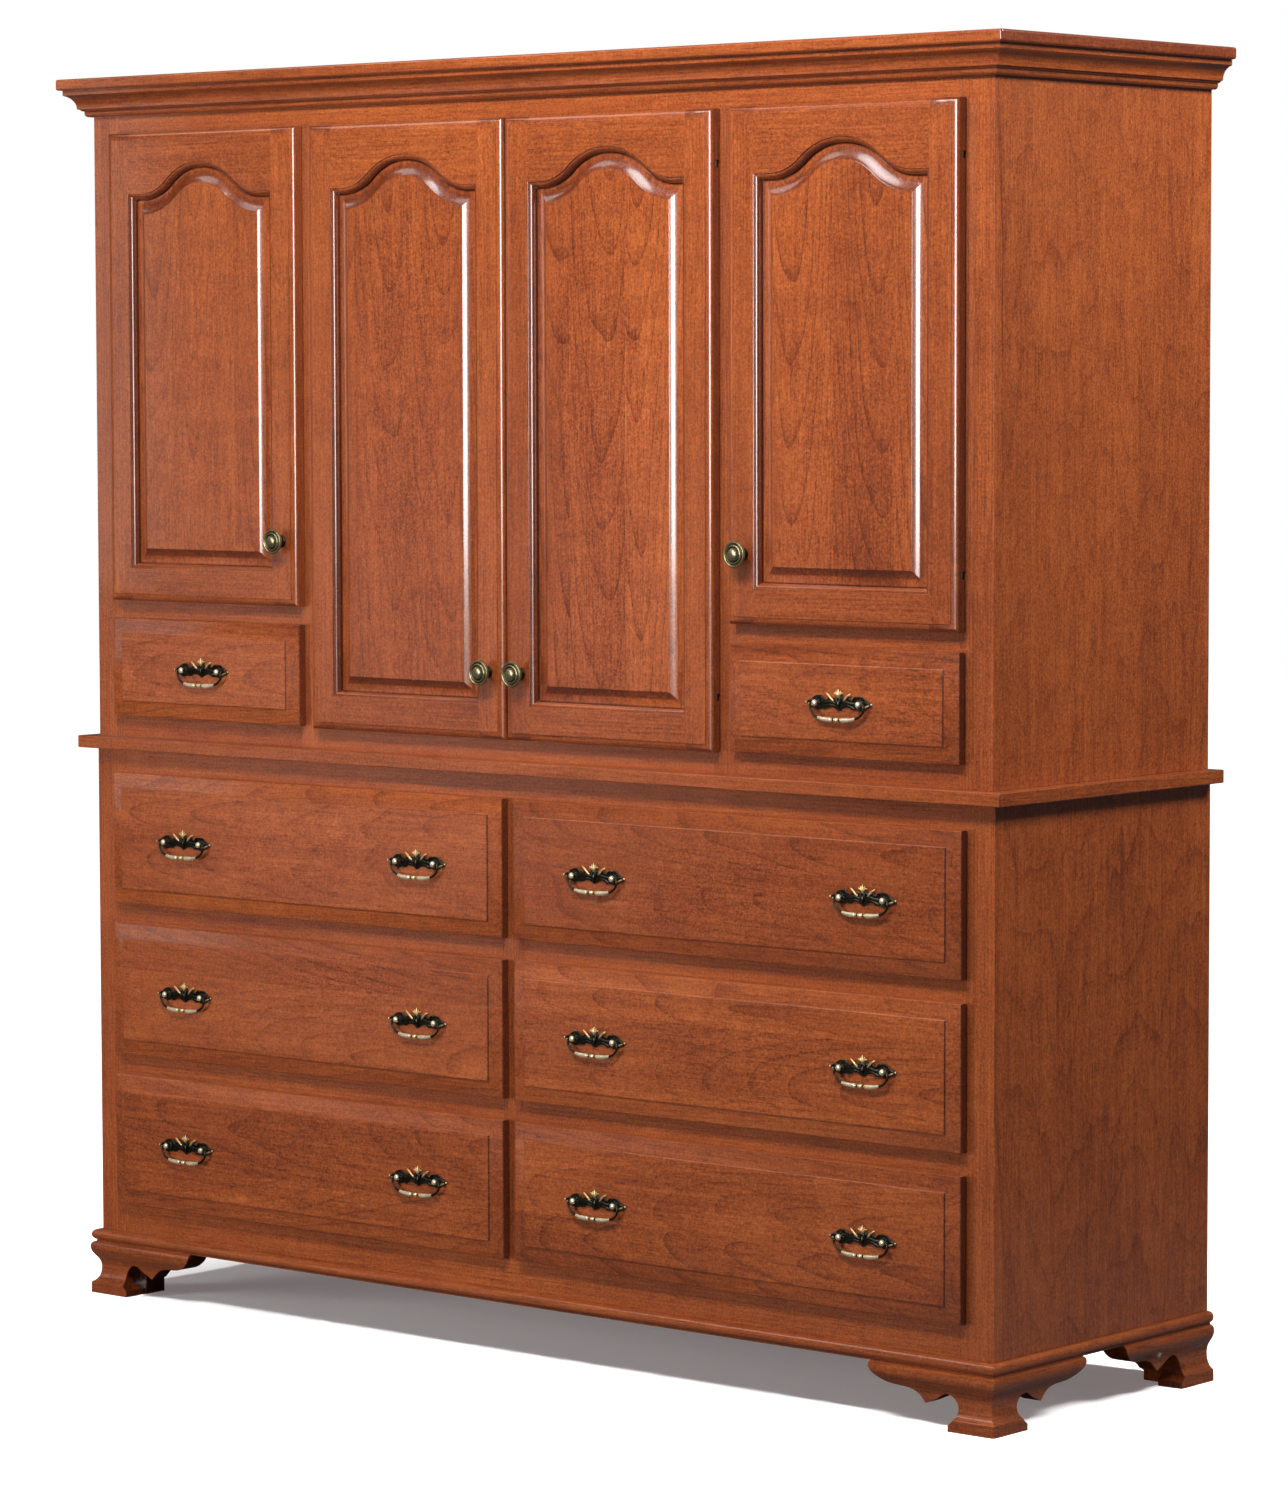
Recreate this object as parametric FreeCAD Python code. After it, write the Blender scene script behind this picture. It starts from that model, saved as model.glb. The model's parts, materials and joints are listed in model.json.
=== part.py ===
import FreeCAD, Part
import math
import os

# An armoire in solid cherry: a cupboard case with four doors and two small drawers,
# standing on a six-drawer dresser with ogee bracket feet.
#
# Sizes are millimetres. x runs across the front, with 0 at the middle, and z is height above
# the floor. While the pieces are made, y is 0 at the front of the face frames and grows
# towards the back. save() then moves every piece by ORIGIN_SHIFT along y, which puts the
# origin on the floor under the middle of the whole object.

# ---- Overall sizes
DEPTH = 516.0               # front of the face frames to the back
HALF_LOWER = 874.0          # half width of the dresser case
HALF_UPPER = 870.0          # half width of the cupboard case
BOARD = 19.0                # thickness of sides, shelves and door frames
FRAME = 20.0                # thickness of the face frames
PLY = 6.0                   # thickness of the backs and drawer bottoms
BACK = DEPTH - PLY          # inner face of the two backs

# ---- Levels above the floor
FOOT_TOP = 82.0
BASE_TOP = 101.0
LOWER_TOP = 864.0
DRESSER_TOP = 883.0
CROWN_FOOT = 1847.0
CROWN_TOP = 1888.0
TOTAL_HEIGHT = 1905.0

# ---- Dresser top, base frame and crown
TOP_HALF = 897.5
TOP_FRONT = -22.0
CAP_REACH = 42.5            # how far the cap board stands out from the cupboard case
BASE_FRAME_WIDTH = 60.0
FOOT_THICK = 26.0           # how far a foot reaches in behind the case's outer face
FOOT_LENGTH = 219.0

# ---- Overlay doors and drawer fronts
OVERLAY = 10.0              # how far a front laps over the edge of its opening
GAP = 1.0                   # between the face frame and the back of a front
FRONT_BACK = -GAP
FRONT_FACE = -GAP - BOARD
EDGE = 13.5                 # flat thickness left at the edge of a moulded front
DOOR_BEVEL = 11.0
DRAWER_BEVEL = 23.5
FIELD_STEP = 1.0
STILE = 48.0
BOTTOM_RAIL = 50.0
SHOULDER_RAIL = 94.0        # door top down to the level shoulders of the arch
ARCH_SPAN = 125.0           # half span of the arch
ARCH_PEAK_R = 110.0
ARCH_SHOULDER_R = 78.0
ARCH_TURN = math.asin(ARCH_SPAN / (ARCH_PEAK_R + ARCH_SHOULDER_R))
STICKING = 8.0              # moulded inner edge of the frame, narrowing the opening
STICKING_Y = -14.0
PANEL_BACK = -6.0
PANEL_TONGUE = -12.0
PANEL_FACE = -16.5
PANEL_BEVEL = 20.0
PANEL_GROOVE = 8.0

# ---- Where the fronts are: low x, high x, bottom, top (right-hand side; the left mirrors it)
OUTER_DOOR = (420.5, 823.0, 1097.5, 1819.0)
INNER_DOOR = (2.0, 392.0, 915.0, 1818.0)
SMALL_DRAWER = (420.5, 823.0, 917.0, 1070.0)
LOWER_X = (11.3, 827.3)
LOWER_ROWS = {"top": (623.0, 828.0), "middle": (386.0, 591.0), "bottom": (149.0, 354.0)}
SIDES = {"left": -1, "right": 1}

# ---- Drawer boxes and their runners
BOX_BACK = 455.0
BOX_WALL = 13.0
BOX_SIDE_GAP = 2.0
BOX_RISE = 7.0              # box bottom above the bottom of its opening
BOX_DROP = 15.0             # box top below the top of its opening
BOTTOM_RISE = 10.0
SLIDE_GAP = 0.3
RUNNER = 20.0
GUIDE_HEIGHT = 25.0

# ---- Partitions and shelves of the cupboard case
PARTITION_IN = 397.0
FLOOR_TOP = 925.0
DECK_TOP = 1107.5
CEILING = 1809.0
SHELF_FRONT = 24.0
SHELF_GAP = 1.0
INNER_SHELVES = (1215.0, 1510.0)
OUTER_SHELF = 1450.0
PIN_R = 2.5
PIN_IN_WALL = 8.0
PIN_OUT = 8.0
PIN_SETBACK = 60.0
DOWEL_R = 4.0
DOWEL_HALF = 12.0

# ---- Door hinges: a pin across a notch in the door's edge, held by a bracket on the frame
PIN_INSET = 3.0             # pin axis from the door's hinged edge
PIN_Y = -7.5
HINGE_PIN_R = 1.4
HINGE_PIN_LENGTH = 34.0
HINGE_BORE_R = 1.45
EYE_R = 2.6
NOTCH_HEIGHT = 10.5
NOTCH_DEPTH = 13.0
NOTCH_FRONT = -11.2
EYE_HEIGHT = 9.5
STRAP = 1.5
STRAP_HEIGHT = 40.0
HINGE_FROM_END = 77.0

# ---- Knobs
KNOB_REACH = 28.0
KNOB_R = 18.8
KNOB_RIM = 22.5             # how far out the flat rim is
KNOB_DOME_R = 13.5
OUTER_KNOB = (450.0, 1196.0)
INNER_KNOB = (32.0, 1013.0)
KNOB_SCREW_R = 2.0

# ---- Bail pulls
POST_HALF = 38.1
PULL_Y = -27.0              # line of the posts' cross holes
PLATE_THICK = 2.5
POST_R = 3.6
POST_BALL_R = 5.2
BAIL_R = 1.6
BAIL_BORE_R = 1.65
BAIL_HALF = 46.8            # centre line of the bail's side, from the middle of the pull
BAIL_DROP = 22.5
BAIL_CORNER = 3.4
LOWER_PULL_OFFSET = 245.0

ORIGIN_SHIFT = -(DEPTH + FRONT_FACE - KNOB_REACH) / 2

V = FreeCAD.Vector
ORIGIN = V(0, 0, 0)
AXIS_X = V(1, 0, 0)
AXIS_Y = V(0, 1, 0)


# ---------------------------------------------------------------- general shapes

def block(x0, x1, y0, y1, z0, z1):
    """A board; its two x limits may be given either way round."""
    return Part.makeBox(abs(x1 - x0), y1 - y0, z1 - z0, V(min(x0, x1), y0, z0))


def rod(start, end, radius):
    """A round rod between two points."""
    line = end - start
    return Part.makeCylinder(radius, line.Length, start, line)


def outline(start, *steps):
    """A closed wire: a point as a step draws a line, a (middle, end) pair draws an arc."""
    edges = []
    here = start
    for step in steps:
        if isinstance(step, tuple):
            middle, end = step
            edges.append(Part.Arc(here, middle, end).toShape())
        else:
            end = step
            edges.append(Part.LineSegment(here, end).toShape())
        here = end
    if (here - start).Length > 1e-6:
        edges.append(Part.LineSegment(here, start).toShape())
    return Part.Wire(edges)


def prism(wire, direction):
    """The solid swept by a flat closed wire along a vector."""
    return Part.Face(wire).extrude(direction)


def mirrored(shape):
    """The same piece on the other side of the middle."""
    return shape.mirror(ORIGIN, AXIS_X)


def rectangle(x0, x1, z0, z1, y):
    """A closed rectangle standing at one depth."""
    return outline(V(x0, y, z0), V(x1, y, z0), V(x1, y, z1), V(x0, y, z1))


def bevelled_front(x0, x1, z0, z1, bevel, step):
    """A front board whose edge is moulded down to EDGE thick, with a small step to its field."""
    edge_y = FRONT_BACK - EDGE
    field_y = FRONT_FACE + step
    body = block(x0, x1, edge_y, FRONT_BACK, z0, z1)
    inner = (x0 + bevel, x1 - bevel, z0 + bevel, z1 - bevel)
    slope = Part.makeLoft([rectangle(x0, x1, z0, z1, edge_y), rectangle(*inner, field_y)], True, True)
    pieces = [slope]
    if step:
        pieces.append(block(inner[0] + step, inner[1] - step, FRONT_FACE, field_y,
                            inner[2] + step, inner[3] - step))
    return body.multiFuse(pieces).removeSplitter()


# ---------------------------------------------------------------- lower case

def lower_case():
    """The dresser's boards, without its face frame."""
    inside = HALF_LOWER - BOARD
    bottom_top = LOWER_ROWS["bottom"][0] + OVERLAY
    side = block(inside, HALF_LOWER, FRAME, DEPTH, BASE_TOP, LOWER_TOP)
    return {
        "lower_side_right": [side],
        "lower_side_left": [mirrored(side)],
        "lower_divider": [block(-BOARD / 2, BOARD / 2, FRAME, BACK, bottom_top, LOWER_TOP)],
        "lower_bottom": [block(-inside, inside, FRAME, BACK, bottom_top - BOARD, bottom_top)],
        "lower_back": [block(-inside, inside, BACK, DEPTH, BASE_TOP, LOWER_TOP)],
    }


def lower_face_frame():
    """Stiles that run the full height, and rails between them."""
    left = LOWER_X[0] + OVERLAY
    right = LOWER_X[1] - OVERLAY
    rows = [LOWER_ROWS[row] for row in ("bottom", "middle", "top")]
    levels = [BASE_TOP]
    for low, high in rows:
        levels += [low + OVERLAY, high - OVERLAY]
    levels.append(LOWER_TOP)
    stile = block(right, HALF_LOWER, 0, FRAME, BASE_TOP, LOWER_TOP)
    pieces = [stile, mirrored(stile), block(-left, left, 0, FRAME, BASE_TOP, LOWER_TOP)]
    for low, high in zip(levels[0::2], levels[1::2]):
        rail = block(left, right, 0, FRAME, low, high)
        pieces += [rail, mirrored(rail)]
    return pieces


def dresser_top():
    """One board over the dresser, with its front and end edges slightly eased."""
    board = block(-TOP_HALF, TOP_HALF, TOP_FRONT, DEPTH, LOWER_TOP, DRESSER_TOP)
    return eased(board, 1.5)


def eased(board, radius):
    """Round the long front edges and the end edges of a wide flat board."""
    def on_rim(edge):
        middle = edge.CenterOfMass
        level = abs(edge.Vertexes[0].Z - edge.Vertexes[1].Z) < 1e-6
        return level and abs(middle.y - DEPTH) > 1e-6 and edge.Length > 1
    return board.makeFillet(radius, [edge for edge in board.Edges if on_rim(edge)])


# ---------------------------------------------------------------- mitred mouldings

def mitre_front(half, reach, inner):
    """The part of the plan that a front moulding fills between its two mitres."""
    wire = outline(V(-half - reach, -reach, 0), V(half + reach, -reach, 0),
                   V(half - inner, inner, 0), V(-half + inner, inner, 0))
    return prism(wire, V(0, 0, TOTAL_HEIGHT))


def mitre_side(half, reach, inner):
    """The part of the plan that the right-hand side moulding fills, square at the back."""
    wire = outline(V(half + reach, -reach, 0), V(half + reach, DEPTH, 0),
                   V(half - inner, DEPTH, 0), V(half - inner, inner, 0))
    return prism(wire, V(0, 0, TOTAL_HEIGHT))


def run_round(profile, half, reach, inner):
    """Front, right and left lengths of a moulding, from a profile(to_point) drawn in (e, z)."""
    long_run = 2 * (half + reach)
    front = prism(profile(lambda e, z: V(-half - reach, -e, z)), V(long_run, 0, 0))
    side = prism(profile(lambda e, z: V(half + e, -reach, z)), V(0, DEPTH + reach, 0))
    front = front.common(mitre_front(half, reach, inner))
    side = side.common(mitre_side(half, reach, inner))
    return [front, side, mirrored(side)]


def crown_profile(point):
    """Bead, step, cove and fillet, standing out from the face of the cupboard case."""
    return outline(
        point(0, CROWN_FOOT), point(6, CROWN_FOOT),
        (point(10.5, CROWN_FOOT + 3.5), point(10.5, CROWN_FOOT + 8.5)),
        point(14.7, CROWN_FOOT + 10.5), point(18.5, CROWN_FOOT + 12),
        (point(23.6, CROWN_FOOT + 24.5), point(34.2, CROWN_FOOT + 33)),
        point(34.2, CROWN_TOP), point(0, CROWN_TOP))


def base_profile(point):
    """A flat board whose front edge is a bullnose over a small quirk."""
    return outline(
        point(-BASE_FRAME_WIDTH, FOOT_TOP), point(9, FOOT_TOP), point(9, FOOT_TOP + 2),
        (point(15, (FOOT_TOP + 2 + BASE_TOP) / 2), point(9, BASE_TOP)),
        point(-BASE_FRAME_WIDTH, BASE_TOP))


def ogee_profile(point):
    """The foot's S curve: a full belly over a waist, a step, and a square pad."""
    return outline(
        point(-FOOT_THICK, 0), point(15.7, 0), point(15, 17), point(7.2, 23),
        (point(2.9, 39), point(8.1, 55)), (point(16.2, 71), point(13.5, FOOT_TOP)),
        point(-FOOT_THICK, FOOT_TOP))


def crown_cap():
    """The flat top board, which stands out past the crown moulding."""
    half = HALF_UPPER + CAP_REACH
    board = block(-half, half, -CAP_REACH, DEPTH, CROWN_TOP, TOTAL_HEIGHT)
    return eased(board, 4.0)


def base_moulding():
    """Three mitred lengths and a plain rear rail that closes the frame."""
    pieces = run_round(base_profile, HALF_UPPER, 20.0, BASE_FRAME_WIDTH)
    inside = HALF_UPPER - BASE_FRAME_WIDTH
    pieces.append(block(-inside, inside, DEPTH - BASE_FRAME_WIDTH, DEPTH, FOOT_TOP, BASE_TOP))
    return pieces


# ---------------------------------------------------------------- bracket feet

def bracket_outline(point):
    """The scalloped elevation of a bracket: point(d, z) is d from the foot's outer corner."""
    return outline(
        point(-5, 0), point(80, 0), point(80, 9),
        (point(70, 18), point(69, 30)), (point(74, 43), point(89, 49.5)),
        (point(106, 43), point(126, 33)), (point(141, 46), point(161, 52)),
        (point(182, 52), point(198, 56)), point(FOOT_LENGTH - 1, 68),
        point(FOOT_LENGTH, FOOT_TOP), point(-5, FOOT_TOP))


def front_foot():
    """The right front foot: two mitred brackets and the block glued in their corner."""
    corner = HALF_UPPER + 17
    reach = 20.0
    curve = prism(ogee_profile(lambda e, z: V(corner - FOOT_LENGTH - 5, -e, z)),
                  V(FOOT_LENGTH + 20, 0, 0))
    cut = prism(bracket_outline(lambda d, z: V(corner - d, -reach, z)), V(0, 2 * reach + FOOT_THICK, 0))
    bracket = curve.common(cut).common(mitre_front(HALF_UPPER, reach, FOOT_THICK))
    side = bracket.mirror(V(HALF_UPPER, 0, 0), V(1, 1, 0))
    inner = HALF_UPPER - FOOT_THICK
    glue_block = block(inner - 40, inner, FOOT_THICK, FOOT_THICK + 40, 0, FOOT_TOP)
    return [bracket, side, glue_block]


def rear_foot():
    """The right rear foot: one side bracket, square at the back, and a plain brace."""
    curve = prism(ogee_profile(lambda e, z: V(HALF_UPPER + e, DEPTH - FOOT_LENGTH - 5, z)),
                  V(0, FOOT_LENGTH + 5, 0))
    cut = prism(bracket_outline(lambda d, z: V(HALF_UPPER - 40, DEPTH - d, z)), V(80, 0, 0))
    inner = HALF_UPPER - FOOT_THICK
    brace = block(inner - 150, inner, DEPTH - BOARD, DEPTH, 0, FOOT_TOP)
    cut_corner = prism(outline(V(inner - 150, DEPTH, 0), V(inner - 60, DEPTH, 0),
                               V(inner - 150, DEPTH, 55)), V(0, -BOARD, 0))
    glue_block = block(inner - 40, inner, DEPTH - BOARD - 40, DEPTH - BOARD, 0, FOOT_TOP)
    return [curve.common(cut), brace.cut(cut_corner), glue_block]


def bracket_feet():
    """All four feet."""
    right = front_foot() + rear_foot()
    return right + [mirrored(piece) for piece in right]


# ---------------------------------------------------------------- upper case

def shelf_boards():
    """The two decks over the small drawers and the four loose shelves."""
    outside = HALF_UPPER - BOARD
    partition_out = PARTITION_IN + BOARD
    deck = block(partition_out, outside, FRAME, BACK, DECK_TOP - BOARD, DECK_TOP)
    outer = block(partition_out + SHELF_GAP, outside - SHELF_GAP, SHELF_FRONT, BACK - SHELF_GAP,
                  OUTER_SHELF, OUTER_SHELF + BOARD)
    boards = [deck, mirrored(deck), outer, mirrored(outer)]
    half = PARTITION_IN - SHELF_GAP
    for level in INNER_SHELVES:
        boards.append(block(-half, half, SHELF_FRONT, BACK - SHELF_GAP, level, level + BOARD))
    return boards


def shelf_pins():
    """Four pins under each loose shelf, half of each pin let into the wall."""
    walls = [(PARTITION_IN, -1, level) for level in INNER_SHELVES]
    walls += [(PARTITION_IN + BOARD, 1, OUTER_SHELF), (HALF_UPPER - BOARD, -1, OUTER_SHELF)]
    pins = []
    for wall, inward, level in walls:
        for y in (FRAME + PIN_SETBACK, BACK - PIN_SETBACK):
            z = level - PIN_R
            pin = rod(V(wall - inward * PIN_IN_WALL, y, z), V(wall + inward * PIN_OUT, y, z), PIN_R)
            pins += [pin, mirrored(pin)]
    return pins


def case_dowels():
    """Four dowels that locate the cupboard case on the dresser top."""
    x = HALF_UPPER - BOARD / 2
    dowels = []
    for y in (FRAME + PIN_SETBACK, BACK - PIN_SETBACK):
        dowel = rod(V(x, y, DRESSER_TOP - DOWEL_HALF), V(x, y, DRESSER_TOP + DOWEL_HALF), DOWEL_R)
        dowels += [dowel, mirrored(dowel)]
    return dowels


def upper_case(pins):
    """The cupboard case's boards, drilled for the shelf pins and dowels."""
    inside = HALF_UPPER - BOARD
    side = block(inside, HALF_UPPER, FRAME, DEPTH, DRESSER_TOP, CROWN_TOP)
    partition = block(PARTITION_IN, PARTITION_IN + BOARD, FRAME, BACK, FLOOR_TOP, CEILING)
    return {
        "upper_side_right": [side.cut(pins)],
        "upper_side_left": [mirrored(side).cut(pins)],
        "upper_partitions": [partition.cut(pins), mirrored(partition).cut(pins)],
        "upper_bottom": [block(-inside, inside, FRAME, BACK, FLOOR_TOP - BOARD, FLOOR_TOP)],
        "upper_top": [block(-inside, inside, FRAME, BACK, CEILING, CEILING + BOARD)],
        "upper_back": [block(-inside, inside, BACK, DEPTH, DRESSER_TOP, CROWN_TOP)],
    }


def upper_face_frame():
    """Outer and inner stiles, one top rail, and rails below the doors and small drawers."""
    inner = INNER_DOOR[1] - OVERLAY
    left = OUTER_DOOR[0] + OVERLAY
    right = OUTER_DOOR[1] - OVERLAY
    drawer_low = SMALL_DRAWER[2] + OVERLAY
    drawer_high = SMALL_DRAWER[3] - OVERLAY
    halves = [
        block(right, HALF_UPPER, 0, FRAME, DRESSER_TOP, CROWN_TOP),
        block(inner, left, 0, FRAME, DRESSER_TOP, CEILING),
        block(left, right, 0, FRAME, DRESSER_TOP, drawer_low),
        block(left, right, 0, FRAME, drawer_high, DECK_TOP),
    ]
    pieces = halves + [mirrored(piece) for piece in halves]
    pieces.append(block(-inner, inner, 0, FRAME, DRESSER_TOP, FLOOR_TOP))
    pieces.append(block(-right, right, 0, FRAME, CEILING, CROWN_TOP))
    return pieces


# ---------------------------------------------------------------- drawers

def drawer_box_limits(x0, x1, z0, z1):
    """The outside of the box behind a front: low x, high x, bottom, top."""
    side = OVERLAY + BOX_SIDE_GAP
    return x0 + side, x1 - side, z0 + OVERLAY + BOX_RISE, z1 - OVERLAY - BOX_DROP


def drawer(x0, x1, z0, z1):
    """A moulded front and the five boards of its box."""
    left, right, low, high = drawer_box_limits(x0, x1, z0, z1)
    inner_front = FRONT_BACK + BOX_WALL
    rear = BOX_BACK - BOX_WALL
    return [
        bevelled_front(x0, x1, z0, z1, DRAWER_BEVEL, FIELD_STEP),
        block(left, left + BOX_WALL, FRONT_BACK, BOX_BACK, low, high),
        block(right - BOX_WALL, right, FRONT_BACK, BOX_BACK, low, high),
        block(left + BOX_WALL, right - BOX_WALL, FRONT_BACK, inner_front, low, high),
        block(left + BOX_WALL, right - BOX_WALL, rear, BOX_BACK, low, high),
        block(left + BOX_WALL, right - BOX_WALL, inner_front, rear, low + BOTTOM_RISE,
              low + BOTTOM_RISE + PLY),
    ]


def runners(front, walls, floor=None):
    """A runner under each side of a drawer box and a guide beside it, fixed to the walls."""
    left, right, low, high = drawer_box_limits(*front)
    top = low - SLIDE_GAP
    under = top - RUNNER if floor is None else floor
    pieces = []
    for wall, edge, inward in ((walls[0], left, 1), (walls[1], right, -1)):
        pieces.append(block(wall, edge + inward * BOX_WALL, FRAME, BACK, under, top))
        pieces.append(block(wall, edge - inward * SLIDE_GAP, FRAME, BACK, top, top + GUIDE_HEIGHT))
    return pieces


def drawer_runners():
    """Runners and guides of all eight drawers."""
    walls = (BOARD / 2, HALF_LOWER - BOARD)
    pieces = []
    for name, (low, high) in LOWER_ROWS.items():
        floor = low + OVERLAY if name == "bottom" else None
        pieces += runners((*LOWER_X, low, high), walls, floor)
    pieces += runners(SMALL_DRAWER, (PARTITION_IN + BOARD, HALF_UPPER - BOARD), FLOOR_TOP)
    return pieces + [mirrored(piece) for piece in pieces]


# ---------------------------------------------------------------- bail pulls

def plate_outline(x, z, y):
    """A scrolled plate: a crest in the middle, a lobe at each post, blunt pointed ends."""
    def at(u, w):
        return V(x + u, y, z + w)

    def lower_half(s):
        return [(at(s * 50, -5.5), at(s * 44, -7)), (at(s * 37, -9.5), at(s * 29, -6.5)),
                (at(s * 19, -6.8), at(s * 9, -5))]

    def upper_half(s):
        return [(at(s * 9, 8.5), at(s * 14, 8)), (at(s * 22, 6), at(s * 29, 9.5)),
                (at(s * 38, 11), at(s * 46, 7)), (at(s * 51, 3), at(s * 58.5, 1.5))]

    def reverse(start, arcs):
        ends = [start] + [end for middle, end in arcs]
        return [(middle, ends[index]) for index, (middle, end) in reversed(list(enumerate(arcs)))]

    tip = at(-58.5, -1.5)
    left_lower = reverse(tip, lower_half(-1))
    left_upper = reverse(at(-4.5, 12), upper_half(-1))
    return outline(at(58.5, -1.5), *lower_half(1), at(0, -10), at(-9, -5), *left_lower,
                   at(-58.5, 1.5), *left_upper, at(0, 20.5), at(4.5, 12), *upper_half(1))


def pull_plate(x, z):
    """A back plate with two ball-headed posts, cross-drilled for the bail."""
    plate = prism(plate_outline(x, z, FRONT_FACE), V(0, -PLATE_THICK, 0))
    pieces = []
    for u in (-POST_HALF, POST_HALF):
        root = V(x + u, FRONT_FACE, z)
        head = V(x + u, PULL_Y, z)
        pieces += [rod(root, head, POST_R), Part.makeSphere(POST_BALL_R, head)]
    hole = rod(V(x - BAIL_HALF, PULL_Y, z), V(x + BAIL_HALF, PULL_Y, z), BAIL_BORE_R)
    return plate.multiFuse(pieces).cut(hole)


def bail(x, z):
    """A bent round rod whose ends turn in through the posts, with a turned grip."""
    def at(u, w):
        return V(x + u, PULL_Y, z + w)

    bend = BAIL_DROP - BAIL_CORNER
    turn = math.sqrt(0.5)
    shoulder = BAIL_HALF - BAIL_CORNER
    low_u = BAIL_HALF - bend
    pin_end = POST_HALF - POST_BALL_R - 1
    small = (at(shoulder + BAIL_CORNER * turn, -BAIL_CORNER * (1 - turn)), at(BAIL_HALF, -BAIL_CORNER))
    large = (at(low_u + bend * turn, -BAIL_CORNER - bend * turn), at(low_u, -BAIL_DROP))
    edges = [Part.LineSegment(at(pin_end, 0), at(shoulder, 0)).toShape(),
             Part.Arc(at(shoulder, 0), *small).toShape(),
             Part.Arc(small[1], *large).toShape(),
             Part.LineSegment(at(low_u, -BAIL_DROP), at(0, -BAIL_DROP)).toShape()]
    ring = Part.Wire(Part.makeCircle(BAIL_R, at(pin_end, 0), AXIS_X))
    half = Part.Wire(edges).makePipeShell([ring], True, False)
    grip = Part.makeCone(BAIL_R + 0.3, BAIL_R + 1.2, 19, at(27, -BAIL_DROP), V(-1, 0, 0))
    bead = Part.makeCylinder(BAIL_R + 1.6, 3, at(-1.5, -BAIL_DROP), AXIS_X)
    right = half.fuse(grip)
    left = right.mirror(at(0, 0), AXIS_X)
    return right.multiFuse([left, bead]).removeSplitter()


# ---------------------------------------------------------------- doors

def arch_wire(middle, half, foot, shoulder, inset, y):
    """A door opening with a cathedral arch, or the same shape drawn in by an inset.

    Where the inset leaves no level shoulder, a short first length of the hollow stands in for it."""
    side = half - inset
    low_r = ARCH_SHOULDER_R + inset
    high_r = ARCH_PEAK_R - inset
    start = math.asin(max(0.0, ARCH_SPAN - side) / low_r)
    low_centre = shoulder + ARCH_SHOULDER_R
    peak_centre = shoulder + (ARCH_PEAK_R + ARCH_SHOULDER_R) * (1 - math.cos(ARCH_TURN)) - ARCH_PEAK_R

    def at(u, z):
        return V(middle + u, y, z)

    def hollow(s, turn):
        return at(s * (ARCH_SPAN - low_r * math.sin(turn)), low_centre - low_r * math.cos(turn))

    def crest(turn):
        return at(high_r * math.sin(turn), peak_centre + high_r * math.cos(turn))

    corners = [at(s * side, hollow(s, start).z) for s in (1, -1)]
    shoulders = [hollow(1, 0), corners[1]]
    if start:
        shoulders = [(hollow(1, 1.5 * start), hollow(1, 2 * start)),
                     (hollow(-1, 1.5 * start), corners[1])]
    half_turn = ARCH_TURN / 2 + start
    return outline(
        at(-side, foot + inset), at(side, foot + inset), corners[0], shoulders[0],
        (hollow(1, half_turn), crest(ARCH_TURN)), (crest(0), crest(-ARCH_TURN)),
        (hollow(-1, half_turn), hollow(-1, 2 * start)), shoulders[1])


def door_leaf(x0, x1, z0, z1, hinge_x, knob):
    """Two stiles, a bottom rail, an arched top rail and a raised panel in their groove."""
    middle = (x0 + x1) / 2
    half = (x1 - x0) / 2 - STILE
    foot = z0 + BOTTOM_RAIL
    shoulder = z1 - SHOULDER_RAIL

    def arch(inset, y):
        return arch_wire(middle, half, foot, shoulder, inset, y)

    tongue = prism(arch(STICKING - PANEL_GROOVE, PANEL_BACK), V(0, PANEL_TONGUE - PANEL_BACK, 0))
    raised = Part.makeLoft([arch(STICKING, PANEL_TONGUE), arch(STICKING + PANEL_BEVEL, PANEL_FACE)],
                           True, True)
    panel = tongue.fuse(raised)
    opening = prism(arch(STICKING, 0), V(0, 2 * FRONT_FACE, 0))
    moulded_edge = Part.makeLoft([arch(0, FRONT_FACE), arch(STICKING, STICKING_Y)], True, True)
    frame = bevelled_front(x0, x1, z0, z1, DOOR_BEVEL, 0)
    frame = frame.cut([opening, moulded_edge, tongue])
    frame = frame.cut(hinge_notches(z0, z1, hinge_x, middle) + [knob_hole(knob)])
    low = foot + 2 * STICKING
    rails = (x0 + STILE, x1 - STILE)
    zones = [block(x0, rails[0], FRONT_FACE, 0, z0, z1), block(rails[1], x1, FRONT_FACE, 0, z0, z1),
             block(*rails, FRONT_FACE, 0, z0, low), block(*rails, FRONT_FACE, 0, low, z1)]
    return [frame.common(zone) for zone in zones] + [panel]


def hinge_levels(z0, z1):
    """Heights of a door's two hinges."""
    return z0 + HINGE_FROM_END, z1 - HINGE_FROM_END


def hinge_notches(z0, z1, hinge_x, middle):
    """A notch for each bracket's eye in the hinged edge, and the hole that holds the pin."""
    inward = math.copysign(1, middle - hinge_x)
    cutters = []
    for level in hinge_levels(z0, z1):
        cutters.append(block(hinge_x - inward, hinge_x + inward * NOTCH_DEPTH, NOTCH_FRONT, 0,
                             level - NOTCH_HEIGHT / 2, level + NOTCH_HEIGHT / 2))
        cutters.append(hinge_pin(level, hinge_x, inward))
    return cutters


def hinge_pin(level, hinge_x, inward):
    """The upright pin of one hinge."""
    low = V(hinge_x + inward * PIN_INSET, PIN_Y, level - HINGE_PIN_LENGTH / 2)
    return rod(low, low + V(0, 0, HINGE_PIN_LENGTH), HINGE_PIN_R)


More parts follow.
